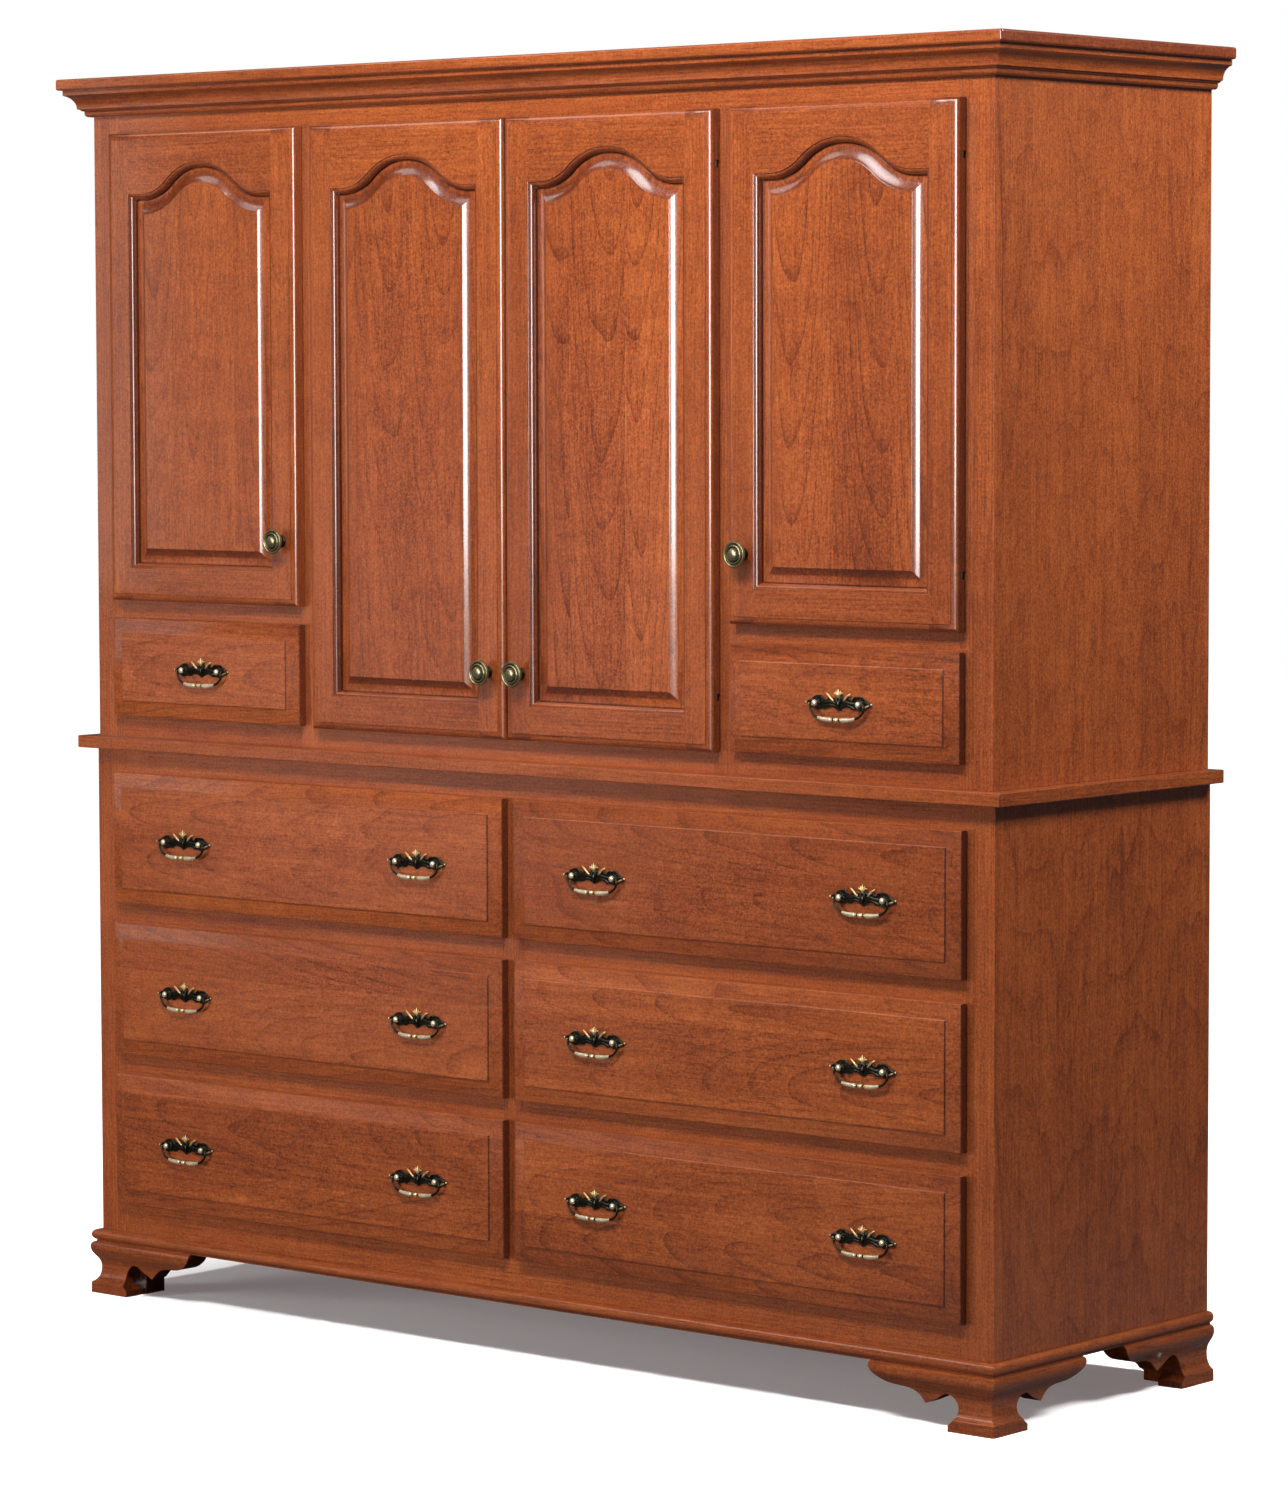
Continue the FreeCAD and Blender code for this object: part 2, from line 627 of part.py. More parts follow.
def hinge_bracket(level, hinge_x, inward):
    """A strap on the edge of the frame's opening, with a tongue and an eye round the pin."""
    pin_x = hinge_x + inward * PIN_INSET
    strap_x = hinge_x + inward * OVERLAY
    half = EYE_HEIGHT / 2
    strap = block(strap_x, strap_x + inward * STRAP, 0, FRAME - 1, level - STRAP_HEIGHT / 2,
                  level + STRAP_HEIGHT / 2)
    neck = block(strap_x, strap_x + inward * STRAP, PIN_Y + EYE_R - STRAP, 0, level - half, level + half)
    tongue = block(pin_x, strap_x, PIN_Y + EYE_R - STRAP, PIN_Y + EYE_R, level - half, level + half)
    eye = rod(V(pin_x, PIN_Y, level - half), V(pin_x, PIN_Y, level + half), EYE_R)
    bore = rod(V(pin_x, PIN_Y, level - half - 1), V(pin_x, PIN_Y, level + half + 1), HINGE_BORE_R)
    return strap.multiFuse([neck, tongue, eye]).cut(bore).removeSplitter()


def knob_hole(knob):
    """The clearance that the knob's screw fills."""
    x, z = knob
    return rod(V(x, FRONT_BACK + 1, z), V(x, FRONT_FACE - 1, z), KNOB_SCREW_R)


def turned_knob(knob):
    """A turned knob with a foot, a neck and a ringed, domed head, and its screw."""
    x, z = knob

    def at(radius, out):
        return V(x + radius, FRONT_FACE - out, z)

    rise = KNOB_REACH - KNOB_RIM
    dome_r = (KNOB_DOME_R ** 2 + rise ** 2) / (2 * rise)
    half_turn = math.asin(KNOB_DOME_R / dome_r) / 2
    dome = at(dome_r * math.sin(half_turn), KNOB_REACH - dome_r * (1 - math.cos(half_turn)))
    profile = outline(
        at(0, 0), at(9, 0), at(9, 2), (at(6, 6), at(7.5, 11)), (at(13, 15.5), at(KNOB_R, 18)),
        (at(KNOB_R + 0.2, 20.5), at(KNOB_R - 1.8, KNOB_RIM)), at(KNOB_DOME_R, KNOB_RIM),
        (dome, at(0, KNOB_REACH)))
    body = Part.Face(profile).revolve(at(0, 0), AXIS_Y, 360)
    screw = rod(V(x, FRONT_BACK, z), V(x, FRONT_FACE - 6, z), KNOB_SCREW_R)
    return body.fuse(screw).removeSplitter()


def doors():
    """Leaf, knob and hinge pins of the four doors, and all the brackets on the case."""
    made = {}
    brackets = []
    for side, s in SIDES.items():
        for kind, door, knob in (("outer", OUTER_DOOR, OUTER_KNOB), ("inner", INNER_DOOR, INNER_KNOB)):
            x0, x1 = sorted((s * door[0], s * door[1]))
            z0, z1 = door[2:]
            hinge_x = s * door[1]
            knob_at = (s * knob[0], knob[1])
            name = f"{kind}_door_{side}"
            made[name] = door_leaf(x0, x1, z0, z1, hinge_x, knob_at)
            levels = hinge_levels(z0, z1)
            pins = [hinge_pin(level, hinge_x, -s) for level in levels]
            made[f"{name}_knob_and_pins"] = [turned_knob(knob_at)] + pins
            brackets += [hinge_bracket(level, hinge_x, -s) for level in levels]
    made["hinge_brackets"] = brackets
    return made


def drawers():
    """The eight drawers, their pull plates and their bails."""
    fronts = {}
    for side, s in SIDES.items():
        fronts[f"small_drawer_{side}"] = (SMALL_DRAWER, s, [0])
        for row, (low, high) in LOWER_ROWS.items():
            offsets = [-LOWER_PULL_OFFSET, LOWER_PULL_OFFSET]
            fronts[f"{row}_drawer_{side}"] = ((*LOWER_X, low, high), s, offsets)
    made = {}
    for name, ((low_x, high_x, z0, z1), s, offsets) in fronts.items():
        x0, x1 = sorted((s * low_x, s * high_x))
        middle = (x0 + x1) / 2
        level = (z0 + z1) / 2
        made[name] = drawer(x0, x1, z0, z1)
        made[f"{name}_pull_plates"] = [pull_plate(middle + offset, level) for offset in offsets]
        for number, offset in enumerate(offsets, 1):
            made[f"{name}_bail_{number}"] = [bail(middle + offset, level)]
    return made


# ---------------------------------------------------------------- the whole object

def save(name, solids):
    """Move a sub-part into the object's own frame and write its STEP file."""
    shape = Part.makeCompound(solids) if len(solids) > 1 else solids[0]
    shape.translate(V(0, ORIGIN_SHIFT, 0))
    shape.exportStep(f"parts/{name}.step")


def main():
    os.makedirs("parts", exist_ok=True)
    dowels = case_dowels()
    pins = shelf_pins() + dowels
    nodes = {
        **lower_case(),
        "lower_face_frame": lower_face_frame(),
        "dresser_top": [dresser_top().cut(dowels)],
        "base_moulding": base_moulding(),
        "bracket_feet": bracket_feet(),
        **upper_case(pins),
        "upper_face_frame": upper_face_frame(),
        "shelves_and_decks": shelf_boards(),
        "shelf_pins_and_dowels": pins,
        "crown_moulding": run_round(crown_profile, HALF_UPPER, CAP_REACH, 0.0),
        "crown_cap": [crown_cap()],
        "drawer_runners": drawer_runners(),
        **doors(),
        **drawers(),
    }
    for name, solids in nodes.items():
        save(name, solids)
    print(len(nodes), "sub-parts written")


main()
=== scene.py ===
import itertools
import json
import math

import bmesh
import bpy
from mathutils import Matrix, Vector

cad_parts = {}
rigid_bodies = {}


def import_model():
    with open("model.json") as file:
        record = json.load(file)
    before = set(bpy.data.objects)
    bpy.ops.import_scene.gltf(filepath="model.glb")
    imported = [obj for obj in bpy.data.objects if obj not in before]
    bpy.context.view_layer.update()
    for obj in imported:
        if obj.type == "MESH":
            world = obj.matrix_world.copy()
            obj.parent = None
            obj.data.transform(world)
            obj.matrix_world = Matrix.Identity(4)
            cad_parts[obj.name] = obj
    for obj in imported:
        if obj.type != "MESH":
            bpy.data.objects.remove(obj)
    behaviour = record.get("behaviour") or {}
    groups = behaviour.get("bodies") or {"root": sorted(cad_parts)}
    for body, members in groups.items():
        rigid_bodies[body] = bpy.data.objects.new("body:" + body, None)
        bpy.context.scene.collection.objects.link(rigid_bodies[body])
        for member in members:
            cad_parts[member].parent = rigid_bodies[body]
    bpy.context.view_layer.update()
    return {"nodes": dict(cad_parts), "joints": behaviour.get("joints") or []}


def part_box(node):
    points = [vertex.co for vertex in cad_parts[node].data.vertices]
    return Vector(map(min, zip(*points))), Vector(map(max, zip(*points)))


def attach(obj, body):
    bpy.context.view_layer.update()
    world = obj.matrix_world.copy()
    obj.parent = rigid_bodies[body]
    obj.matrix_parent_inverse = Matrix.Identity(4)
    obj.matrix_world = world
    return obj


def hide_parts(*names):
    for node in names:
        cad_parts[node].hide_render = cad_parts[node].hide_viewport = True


# An armoire in reddish cherry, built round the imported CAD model.
#
# Shapes are drawn in millimetres, with x across the front, z above the floor and y at 0 on the
# front of the face frames. place() turns such a point into metres in the row frame.

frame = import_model()

MM = 0.001
FRONT_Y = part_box("upper_face_frame")[0].y


def place(point):
    """A point in millimetres from the face frames' front, as metres in the row frame."""
    x, y, z = point
    return Vector((x * MM, y * MM + FRONT_Y, z * MM))


def node_box(node):
    """A CAD node's box in millimetres: (x0, x1, y0, y1, z0, z1)."""
    low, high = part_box(node)
    return (low.x / MM, high.x / MM, (low.y - FRONT_Y) / MM, (high.y - FRONT_Y) / MM,
            low.z / MM, high.z / MM)


# ---- Sizes that the CAD boxes give
HALF_UPPER = node_box("upper_side_right")[1]
HALF_LOWER = node_box("lower_side_right")[1]
BOARD = HALF_UPPER - node_box("upper_side_right")[0]
DEPTH = node_box("upper_side_right")[3]
FRAME_BACK = node_box("upper_face_frame")[3]
BASE_TOP = node_box("base_moulding")[5]
FOOT_TOP = node_box("base_moulding")[4]
LOWER_TOP = node_box("lower_side_right")[5]
DRESSER_TOP = node_box("dresser_top")[5]
CROWN_FOOT = node_box("crown_moulding")[4]
CROWN_TOP = node_box("crown_cap")[4]
FACE_Y = node_box("small_drawer_right")[2]
FRONT_BACK_Y = -1.0         # back of the fronts, just clear of the face frame
THICK = FRONT_BACK_Y - FACE_Y

# ---- Sizes shared by the fronts
OVERLAY = 10.0              # how far a front laps over the edge of its opening
STILE = 48.0
BOTTOM_RAIL = 50.0
SHOULDER_RAIL = 94.0        # door top down to the level shoulders of the arch
ARCH_SPAN = 125.0           # middle of the arch to where a shoulder begins
ARCH_PEAK_R = 110.0
ARCH_SHOULDER_R = 78.0
ARCH_TURN = math.asin(ARCH_SPAN / (ARCH_PEAK_R + ARCH_SHOULDER_R))
ARCH_STEPS = 14
STICKING = 8.0              # moulded inner edge of the frame

# Profiles are (inset, depth) pairs: inset is measured in from the edge, depth back from the face.
DOOR_EDGE = [(11.2, 0), (10.8, 0.15), (10.6, 0.5), (10.5, 1.1), (10.0, 1.2), (7.4, 1.45), (5.0, 2.1),
             (2.9, 3.2), (1.35, 4.6), (0.35, 6.1), (0, 7.8), (0, THICK - 0.6), (0.6, THICK)]
STICKING_EDGE = [(0, 0), (0.4, 0.2), (0.6, 0.6), (0.7, 1.7), (2.0, 1.8), (3.4, 2.2), (4.9, 3.0),
                 (6.1, 4.2), (7.0, 5.6), (7.6, 7.2), (8.0, 7.6), (8.0, THICK - 5)]
PANEL_EDGE = [
    (8.0, 13.4), (9.3, 13.2), (9.5, 11.4), (10.1, 11.1), (12.5, 11.03), (15.0, 10.75), (17.5, 10.3),
    (20.0, 9.65), (22.2, 8.9), (24.4, 7.98), (26.4, 6.98), (28.2, 5.93), (29.8, 4.88), (30.8, 4.15),
    (31.3, 3.8), (31.7, 3.6), (32.4, 3.5),
]
PANEL_BACK = (7.6, 14.0)
DRAWER_EDGE = [
    (25.8, 0), (25.0, 0.12), (24.3, 0.45), (23.8, 1.0), (23.5, 1.8), (23.2, 2.0), (22.4, 2.1),
    (12.0, 4.45), (2.0, 6.7), (0.9, 7.1), (0.25, 7.8), (0, 8.8), (0, THICK - 0.6), (0.6, THICK),
]

SIDES = (("left", -1), ("right", 1))    # each with the sign of its x
BOARD_COUNT = itertools.count(1)
GOLDEN_STEP = 0.6180339     # spreads the boards' numbers evenly between 0 and 1


# ---- shader helpers

class Graph:
    """A small writer of shader nodes for a material or a world."""

    def __init__(self, owner):
        owner.use_nodes = True
        self.tree = owner.node_tree
        self.tree.nodes.clear()

    def node(self, kind, values=(), **settings):
        made = self.tree.nodes.new(kind)
        for name, value in settings.items():
            setattr(made, name, value)
        for key, value in dict(values).items():
            self.feed(made.inputs[key], value)
        return made

    def feed(self, socket, value):
        if isinstance(value, bpy.types.NodeSocket):
            self.tree.links.new(value, socket)
        else:
            socket.default_value = value

    def math(self, operation, a, b=0.0, c=0.0):
        return self.node("ShaderNodeMath", {0: a, 1: b, 2: c}, operation=operation).outputs[0]

    def add(self, a, b):
        return self.math("ADD", a, b)

    def times(self, a, b):
        return self.math("MULTIPLY", a, b)

    def combine(self, x, y, z):
        return self.node("ShaderNodeCombineXYZ", {0: x, 1: y, 2: z}).outputs[0]

    def noise(self, vector, scale=1.0, detail=2.0, roughness=0.5):
        values = {"Vector": vector, "Scale": scale, "Detail": detail, "Roughness": roughness}
        return self.node("ShaderNodeTexNoise", values).outputs[0]

    def random(self, number):
        return self.node("ShaderNodeTexWhiteNoise", {"W": number}, noise_dimensions="1D").outputs[0]

    def scaled(self, value, gain, offset):
        return self.math("MULTIPLY_ADD", value, gain, offset)

    def centred(self, value, gain):
        """A 0 to 1 value, moved to run from -gain/2 to gain/2."""
        return self.scaled(value, gain, -gain / 2)

    def ramp(self, factor, stops):
        made = self.node("ShaderNodeValToRGB", {0: factor})
        band = made.color_ramp
        while len(band.elements) < len(stops):
            band.elements.new(0.5)
        for element, (position, colour) in zip(band.elements, stops):
            element.position = position
            element.color = (*colour, 1.0)
        return made.outputs[0]

    def darken(self, colour, share):
        """A colour times a number from 0 to 1."""
        values = {0: 1.0, 6: colour, 7: self.combine(share, share, share)}
        return self.node("ShaderNodeMix", values, data_type="RGBA", blend_type="MULTIPLY").outputs[2]

    def bump(self, height, strength, distance):
        values = {"Strength": strength, "Distance": distance, "Height": height}
        return self.node("ShaderNodeBump", values).outputs[0]

    def finish(self, values):
        shader = self.node("ShaderNodeBsdfPrincipled", values)
        self.node("ShaderNodeOutputMaterial", {0: shader.outputs[0]})

    def finish_studio(self, kind, lighting, seen):
        """One shader lights the object, and another is what the lens sees of the surround."""
        to_lens = self.node("ShaderNodeLightPath").outputs["Is Camera Ray"]
        mixed = self.node("ShaderNodeMixShader", {0: to_lens, 1: lighting.outputs[0],
                                                  2: seen.outputs[0]})
        self.node(kind, {0: mixed.outputs[0]})


# ---- wood

CHERRY = [(0.0, (0.095, 0.016, 0.0045)), (0.3, (0.20, 0.039, 0.0085)), (0.5, (0.315, 0.068, 0.0135)),
          (0.72, (0.44, 0.107, 0.022)), (1.0, (0.62, 0.190, 0.045))]
MAPLE = [(0.0, (0.33, 0.19, 0.09)), (0.35, (0.48, 0.31, 0.165)), (0.6, (0.58, 0.39, 0.22)),
         (1.0, (0.7, 0.5, 0.31))]
STAVE = 0.105               # width in metres of the boards in a glued-up panel
RINGS = 170.0               # growth rings per metre
END_GRAIN_REACH = 4.4       # how steeply a face turns to end grain as it tilts along the grain
END_GRAIN_SHADE = -0.27
PORE_LEVEL = 0.61           # flecks of noise above this level are open pores
PORE_SHADE = -0.34
LACQUER = {"Coat Weight": 0.85, "Coat Roughness": 0.10, "Coat IOR": 1.5}


def wood(name, grain, across, stave=0.0, stops=CHERRY, tone=0.0, figure=1.0, gloss=True):
    """Lacquered wood. Grain runs along one axis; across is the other axis of the broad face.

    stave is the width in metres of the boards that a wide panel is glued up from, or 0.
    The mesh attribute 'board' gives every board its own stretch of the pattern."""
    material = bpy.data.materials.new(name)
    g = Graph(material)
    place_on = g.node("ShaderNodeTexCoord")
    where = place_on.outputs["Object"]
    split = g.node("ShaderNodeSeparateXYZ", {0: where})
    axis = {"x": 0, "y": 1, "z": 2}
    facing = g.node("ShaderNodeSeparateXYZ", {0: place_on.outputs["Normal"]}).outputs[axis[grain]]
    end_grain = g.math("SMOOTH_MIN", g.times(g.math("ABSOLUTE", facing), END_GRAIN_REACH), 1.0, 0.3)
    deep = ({0, 1, 2} - {axis[grain], axis[across]}).pop()
    along = split.outputs[axis[grain]]
    side = split.outputs[axis[across]]
    depth = split.outputs[deep]
    board = g.node("ShaderNodeAttribute", attribute_name="board").outputs["Fac"]

    if stave:
        lane = g.add(g.math("DIVIDE", side, stave), g.times(board, 7.31))
        index = g.add(g.math("FLOOR", lane), g.times(board, 13.7))
        random = g.random(index)
        within = g.math("SUBTRACT", g.math("FRACT", lane), 0.5)
        heart = g.times(g.add(within, g.centred(random, 0.9)), stave)
    else:
        random = g.random(g.times(board, 13.7))
        heart = g.add(side, g.scaled(random, 0.5, 0.1))

    u = g.scaled(random, 9.0, along)
    v = g.scaled(random, 4.0, side)

    def streak(length, width, **more):
        """Noise drawn out along the grain; length and width are features per metre each way."""
        return g.noise(g.combine(g.times(u, length), g.times(v, width), g.times(depth, width)), **more)

    broad = streak(1.3, 6.0, detail=2.0)
    wander = streak(2.6, 13.0, detail=2.0)
    warp = g.add(g.centred(broad, 0.035), g.centred(wander, 0.006))
    slope = g.scaled(along, 0.045, g.scaled(random, 0.06, 0.045))
    cut = g.add(slope, g.add(warp, depth))
    radius = g.math("SQRT", g.add(g.times(heart, heart), g.times(cut, cut)))
    ring = g.math("FRACT", g.scaled(radius, RINGS, g.centred(wander, 0.7)))
    late = g.math("POWER", ring, 9.0)
    bands = g.noise(g.combine(g.times(radius, 140.0), g.times(u, 0.9), board), detail=2.0)
    lines = g.times(late, g.scaled(broad, 1.8, -0.3))

    fibre = streak(12.0, 360.0, detail=4.0, roughness=0.65)
    strand = streak(3.0, 90.0, detail=3.0, roughness=0.55)
    fleck = streak(55.0, 560.0, detail=2.0)
    blotch = streak(5.0, 24.0, detail=5.0, roughness=0.65)
    cloud = streak(1.2, 3.6, detail=2.0)
    ripple = streak(36.0, 9.0, detail=3.0, roughness=0.6)
    speckle = g.noise(where, scale=290.0, detail=3.0, roughness=0.7)

    shade = g.scaled(lines, -0.34 * figure, 0.50 + tone)
    for pattern, gain in ((blotch, 0.34), (bands, 0.12), (fibre, 0.50), (strand, 0.30),
                          (ripple, 0.24 * figure), (random, 0.16), (cloud, 0.26), (speckle, 1.05)):
        shade = g.add(shade, g.centred(pattern, gain))
    shade = g.add(shade, g.times(end_grain, END_GRAIN_SHADE))
    colour = g.ramp(shade, stops)
    pores = g.scaled(g.math("GREATER_THAN", fleck, PORE_LEVEL), PORE_SHADE, 1.0)
    colour = g.darken(colour, pores)

    height = g.add(g.times(fibre, 0.5), g.add(g.times(late, -0.25), g.times(speckle, 0.2)))
    rough = g.scaled(fibre, 0.10, 0.25 if gloss else 0.55)
    values = {"Base Color": colour, "Roughness": rough, "Normal": g.bump(height, 0.16, 0.0004),
              "IOR": 1.5}
    if gloss:
        values.update(LACQUER)
    g.finish(values)
    return material


# ---- metals

def metal(name, low, high, rough, grime, metallic=1.0):
    """Cast or turned metal with a mottled patina: dark grime in patches over a brighter colour."""
    material = bpy.data.materials.new(name)
    g = Graph(material)
    where = g.node("ShaderNodeTexCoord").outputs["Object"]
    patches = g.noise(where, scale=260.0, detail=4.0, roughness=0.65)
    fine = g.noise(where, scale=1500.0, detail=2.0)
    worn = g.add(g.scaled(patches, 1.6, -0.3 - grime), g.centred(fine, 0.2))
    colour = g.ramp(worn, [(0.0, low), (1.0, high)])
    roughness = g.scaled(fine, 0.16, rough)
    g.finish({"Base Color": colour, "Metallic": metallic, "Roughness": roughness,
              "Normal": g.bump(g.add(patches, g.times(fine, 0.4)), 0.25, 0.0002)})
    return material


def floor_finish():
    """A plain pale studio floor that shows bright to the lens but throws little light back up. A faint warm
    glow in it is painted light, which lifts its shadows as if light bounced off the wood.
    """
    material = bpy.data.materials.new("pale_floor")
    g = Graph(material)
    where = g.node("ShaderNodeTexCoord").outputs["Object"]
    tone = g.noise(where, scale=1.3, detail=3.0)
    pale = g.ramp(tone, [(0.0, (0.88, 0.88, 0.88)), (1.0, (0.91, 0.91, 0.91))])
    # the warm emission is painted light: a glow that brightens and tints the floor's shadows
    values = {"Base Color": pale, "Roughness": 0.9, "Specular IOR Level": 0.1,
              "Emission Color": (1, 0.86, 0.85, 1), "Emission Strength": 0.17}
    seen = g.node("ShaderNodeBsdfPrincipled", values)
    dim = g.node("ShaderNodeBsdfDiffuse", {"Color": (0.05, 0.045, 0.045, 1)})
    g.finish_studio("ShaderNodeOutputMaterial", dim, seen)
    return material


MAT = {
    "stile": wood("cherry_stile", "z", "x"),
    "rail": wood("cherry_rail", "x", "z"),
    "panel": wood("cherry_panel", "z", "x", STAVE, tone=-0.02, figure=1.3),
    "front": wood("cherry_drawer_front", "x", "z", STAVE, tone=0.0, figure=0.95),
    "side": wood("cherry_side", "z", "y", STAVE * 1.2, figure=0.75),
    "top": wood("cherry_top", "x", "y", STAVE * 1.2),
    "side_run": wood("cherry_side_run", "y", "z"),
    "inner": wood("maple_front_to_back", "y", "z", stops=MAPLE, gloss=False),
    "inner_x": wood("maple_across", "x", "z", stops=MAPLE, gloss=False),
    "ply": wood("birch_ply", "z", "x", 0.3, stops=MAPLE, gloss=False),
    "ply_flat": wood("birch_ply_flat", "x", "y", 0.3, stops=MAPLE, gloss=False),
    "bronze": metal("dark_bronze", (0.012, 0.014, 0.012), (0.10, 0.085, 0.06), 0.30, 0.15),
    "gilt": metal("gilt_highlight", (0.30, 0.16, 0.05), (0.95, 0.70, 0.34), 0.26, -0.1, 0.6),
    "brass": metal("bright_brass", (0.50, 0.38, 0.20), (1.0, 0.88, 0.62), 0.20, -0.3, 0.65),
    "knob": metal("antique_brass", (0.08, 0.065, 0.03), (0.42, 0.35, 0.19), 0.24, 0.0, 0.8),
    "steel": metal("steel", (0.16, 0.15, 0.14), (0.42, 0.41, 0.39), 0.32, 0.0),
    "floor": floor_finish(),
}


# ---- mesh helpers

def linked(name, data):
    """A new object in the scene."""
    made = bpy.data.objects.new(name, data)
    bpy.context.scene.collection.objects.link(made)
    return made


def mesh_of(name, bm, materials, smooth, offset=(0, 0, 0)):
    """A mesh in metres from a bmesh in millimetres; creases over smooth degrees stay sharp.

    materials are keys of MAT. The mesh's board number shifts its grain."""
    bmesh.ops.recalc_face_normals(bm, faces=bm.faces)
    mesh = bpy.data.meshes.new(name)
    for vertex in bm.verts:
        vertex.co = vertex.co * MM + Vector(offset)
    bm.to_mesh(mesh)
    bm.free()
    for material in materials:
        mesh.materials.append(MAT[material])
    mesh.shade_smooth()
    mesh.set_sharp_from_angle(angle=math.radians(smooth))
    number = (next(BOARD_COUNT) * GOLDEN_STEP) % 1.0
    attribute = mesh.attributes.new("board", "FLOAT", "POINT")
    attribute.data.foreach_set("value", [number] * len(mesh.vertices))
    return mesh


def piece(name, bm, materials, body, slot="cherry", replaces=(), smooth=35.0, at=None):
    """Turn a bmesh in millimetres into an object that rides on a body."""
    offset = (0, 0, 0) if at else (0, FRONT_Y, 0)
    materials = [materials] if isinstance(materials, str) else materials
    mesh = mesh_of(name, bm, materials, smooth, offset)
    made = show(name, mesh, body, slot, replaces, at)
    flatten = made.modifiers.new("flat_faces_stay_flat", "WEIGHTED_NORMAL")
    flatten.mode = "FACE_AREA"
    flatten.weight = 100
    flatten.keep_sharp = True
    return made


def show(name, mesh, body, slot, replaces=(), at=None):
    """Link an object for a mesh, put it in place and let it ride on its body."""
    made = linked(name, mesh)
    if at:
        made.location = place(at)
    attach(made, body)
    if replaces:
        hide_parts(*replaces)
    return made


def ring_of(bm, points):
    """Add a loop of vertices."""
    return [bm.verts.new(point) for point in points]


def skin(bm, first, second, slot=0):
    """Faces between two loops with the same number of vertices."""
    for i in range(len(first)):
        j = (i + 1) % len(first)
        bm.faces.new((first[i], first[j], second[j], second[i])).material_index = slot


def cap(bm, loop, slot=0):
    """One flat face that closes a loop."""
    bm.faces.new(loop).material_index = slot


def skin_rings(bm, rings, slot=0):
    """Faces along a run of loops."""
    for first, second in zip(rings, rings[1:]):
        skin(bm, first, second, slot=slot)


def closed_run(bm, rings, slot=0):
    """A closed solid along a run of loops, with a flat face at each end."""
    skin_rings(bm, rings, slot)
    cap(bm, rings[0], slot)
    cap(bm, rings[-1], slot)


def solid_through(loops):
    """A bmesh solid along loops of points."""
    bm = bmesh.new()
    closed_run(bm, [ring_of(bm, loop) for loop in loops])
    return bm


def circle(bm, middle, across, up, segments):
    """A loop of vertices round a middle point, from two half axes."""
    turns = [2 * math.pi * i / segments for i in range(segments)]
    return ring_of(bm, [middle + across * math.cos(turn) + up * math.sin(turn) for turn in turns])


def box_mesh(x0, x1, y0, y1, z0, z1, ease=0.6, segments=2):
    """A board with eased edges."""
    bm = bmesh.new()
    bmesh.ops.create_cube(bm, size=1.0)
    x0, x1 = sorted((x0, x1))
    for vertex in bm.verts:
        vertex.co = Vector(((x0 + x1) / 2 + vertex.co.x * (x1 - x0),
                            (y0 + y1) / 2 + vertex.co.y * (y1 - y0),
                            (z0 + z1) / 2 + vertex.co.z * (z1 - z0)))
    bmesh.ops.bevel(bm, geom=bm.edges[:], offset=ease, segments=segments, profile=0.5,
                    affect="EDGES")
    return bm


def board(name, limits, material, body="case", ease=0.6, segments=2, **more):
    """A plain board between six limits."""
    return piece(name, box_mesh(*limits, ease=ease, segments=segments), material, body, **more)


def node_board(node, name, material, **more):
    """A plain board in the place of a CAD node."""
    return board(name, node_box(node), material, replaces=[node], **more)


def flipped(bm, s):
    """The bmesh, mirrored across the middle when s is -1."""
    if s < 0:
        for vertex in bm.verts:
            vertex.co.x = -vertex.co.x
    return bm


def split_off(source, point, normal):
    """The part of a closed bmesh on the far side of a plane, closed again with a flat cut."""
    part = source.copy()
    cut = bmesh.ops.bisect_plane(part, geom=part.verts[:] + part.edges[:] + part.faces[:],
                                 plane_co=point, plane_no=normal, clear_inner=True, dist=1e-5)
    rim = [item for item in cut["geom_cut"]
           if isinstance(item, bmesh.types.BMEdge) and item.is_valid and item.is_boundary]
    if rim:
        bmesh.ops.holes_fill(part, edges=rim, sides=0)
    return part


# ---- mouldings

def arc(centre, radius, start, end, steps):
    """Points on an arc, angles in degrees."""
    turns = [math.radians(start + (end - start) * i / steps) for i in range(steps + 1)]
    return [(centre[0] + radius * math.cos(turn), centre[1] + radius * math.sin(turn)) for turn in turns]


def run_round(node, profile):
    """The three lengths of a moulding round the front and sides, mitred at the front corners.

    profile is a closed list of (stand-out, height)."""
    left, right = ([(s * (HALF_UPPER + e), -e, z) for e, z in profile] for s in (-1, 1))
    rear = [(HALF_UPPER + e, DEPTH, z) for e, z in profile]
    lengths = (("front", solid_through([left, right]), "rail"),
               ("left", flipped(solid_through([right, rear]), -1), "side_run"),
               ("right", solid_through([right, rear]), "side_run"))
    for name, bm, material in lengths:
        piece(f"{node}_{name}", bm, material, "case", replaces=[node])


# From the foot of the crown moulding, as (stand-out, height): bead, fillets, cove and top edge.
CROWN_PROFILE = [
    (0, 0), (5.5, 0), (7.4, 0.5), (9.2, 1.9), (10.3, 4.0), (10.5, 6.4), (10.1, 8.3), (11.0, 8.7),
    (13.9, 9.6), (14.7, 10.2), (15.0, 11.4), (18.3, 11.9), (18.7, 13.6), (19.1, 17.0), (20.2, 20.8),
    (22.2, 24.6), (25.2, 28.2), (29.0, 31.0), (33.8, 33.0), (34.2, 33.6),
]


def crown():
    """Cap board over a bead, step and cove moulding."""
    profile = [(e, CROWN_FOOT + z) for e, z in CROWN_PROFILE] + [(34.2, CROWN_TOP), (0, CROWN_TOP)]
    run_round("crown_moulding", profile)
    node_board("crown_cap", "crown_cap_board", "top", ease=3.6, segments=4)


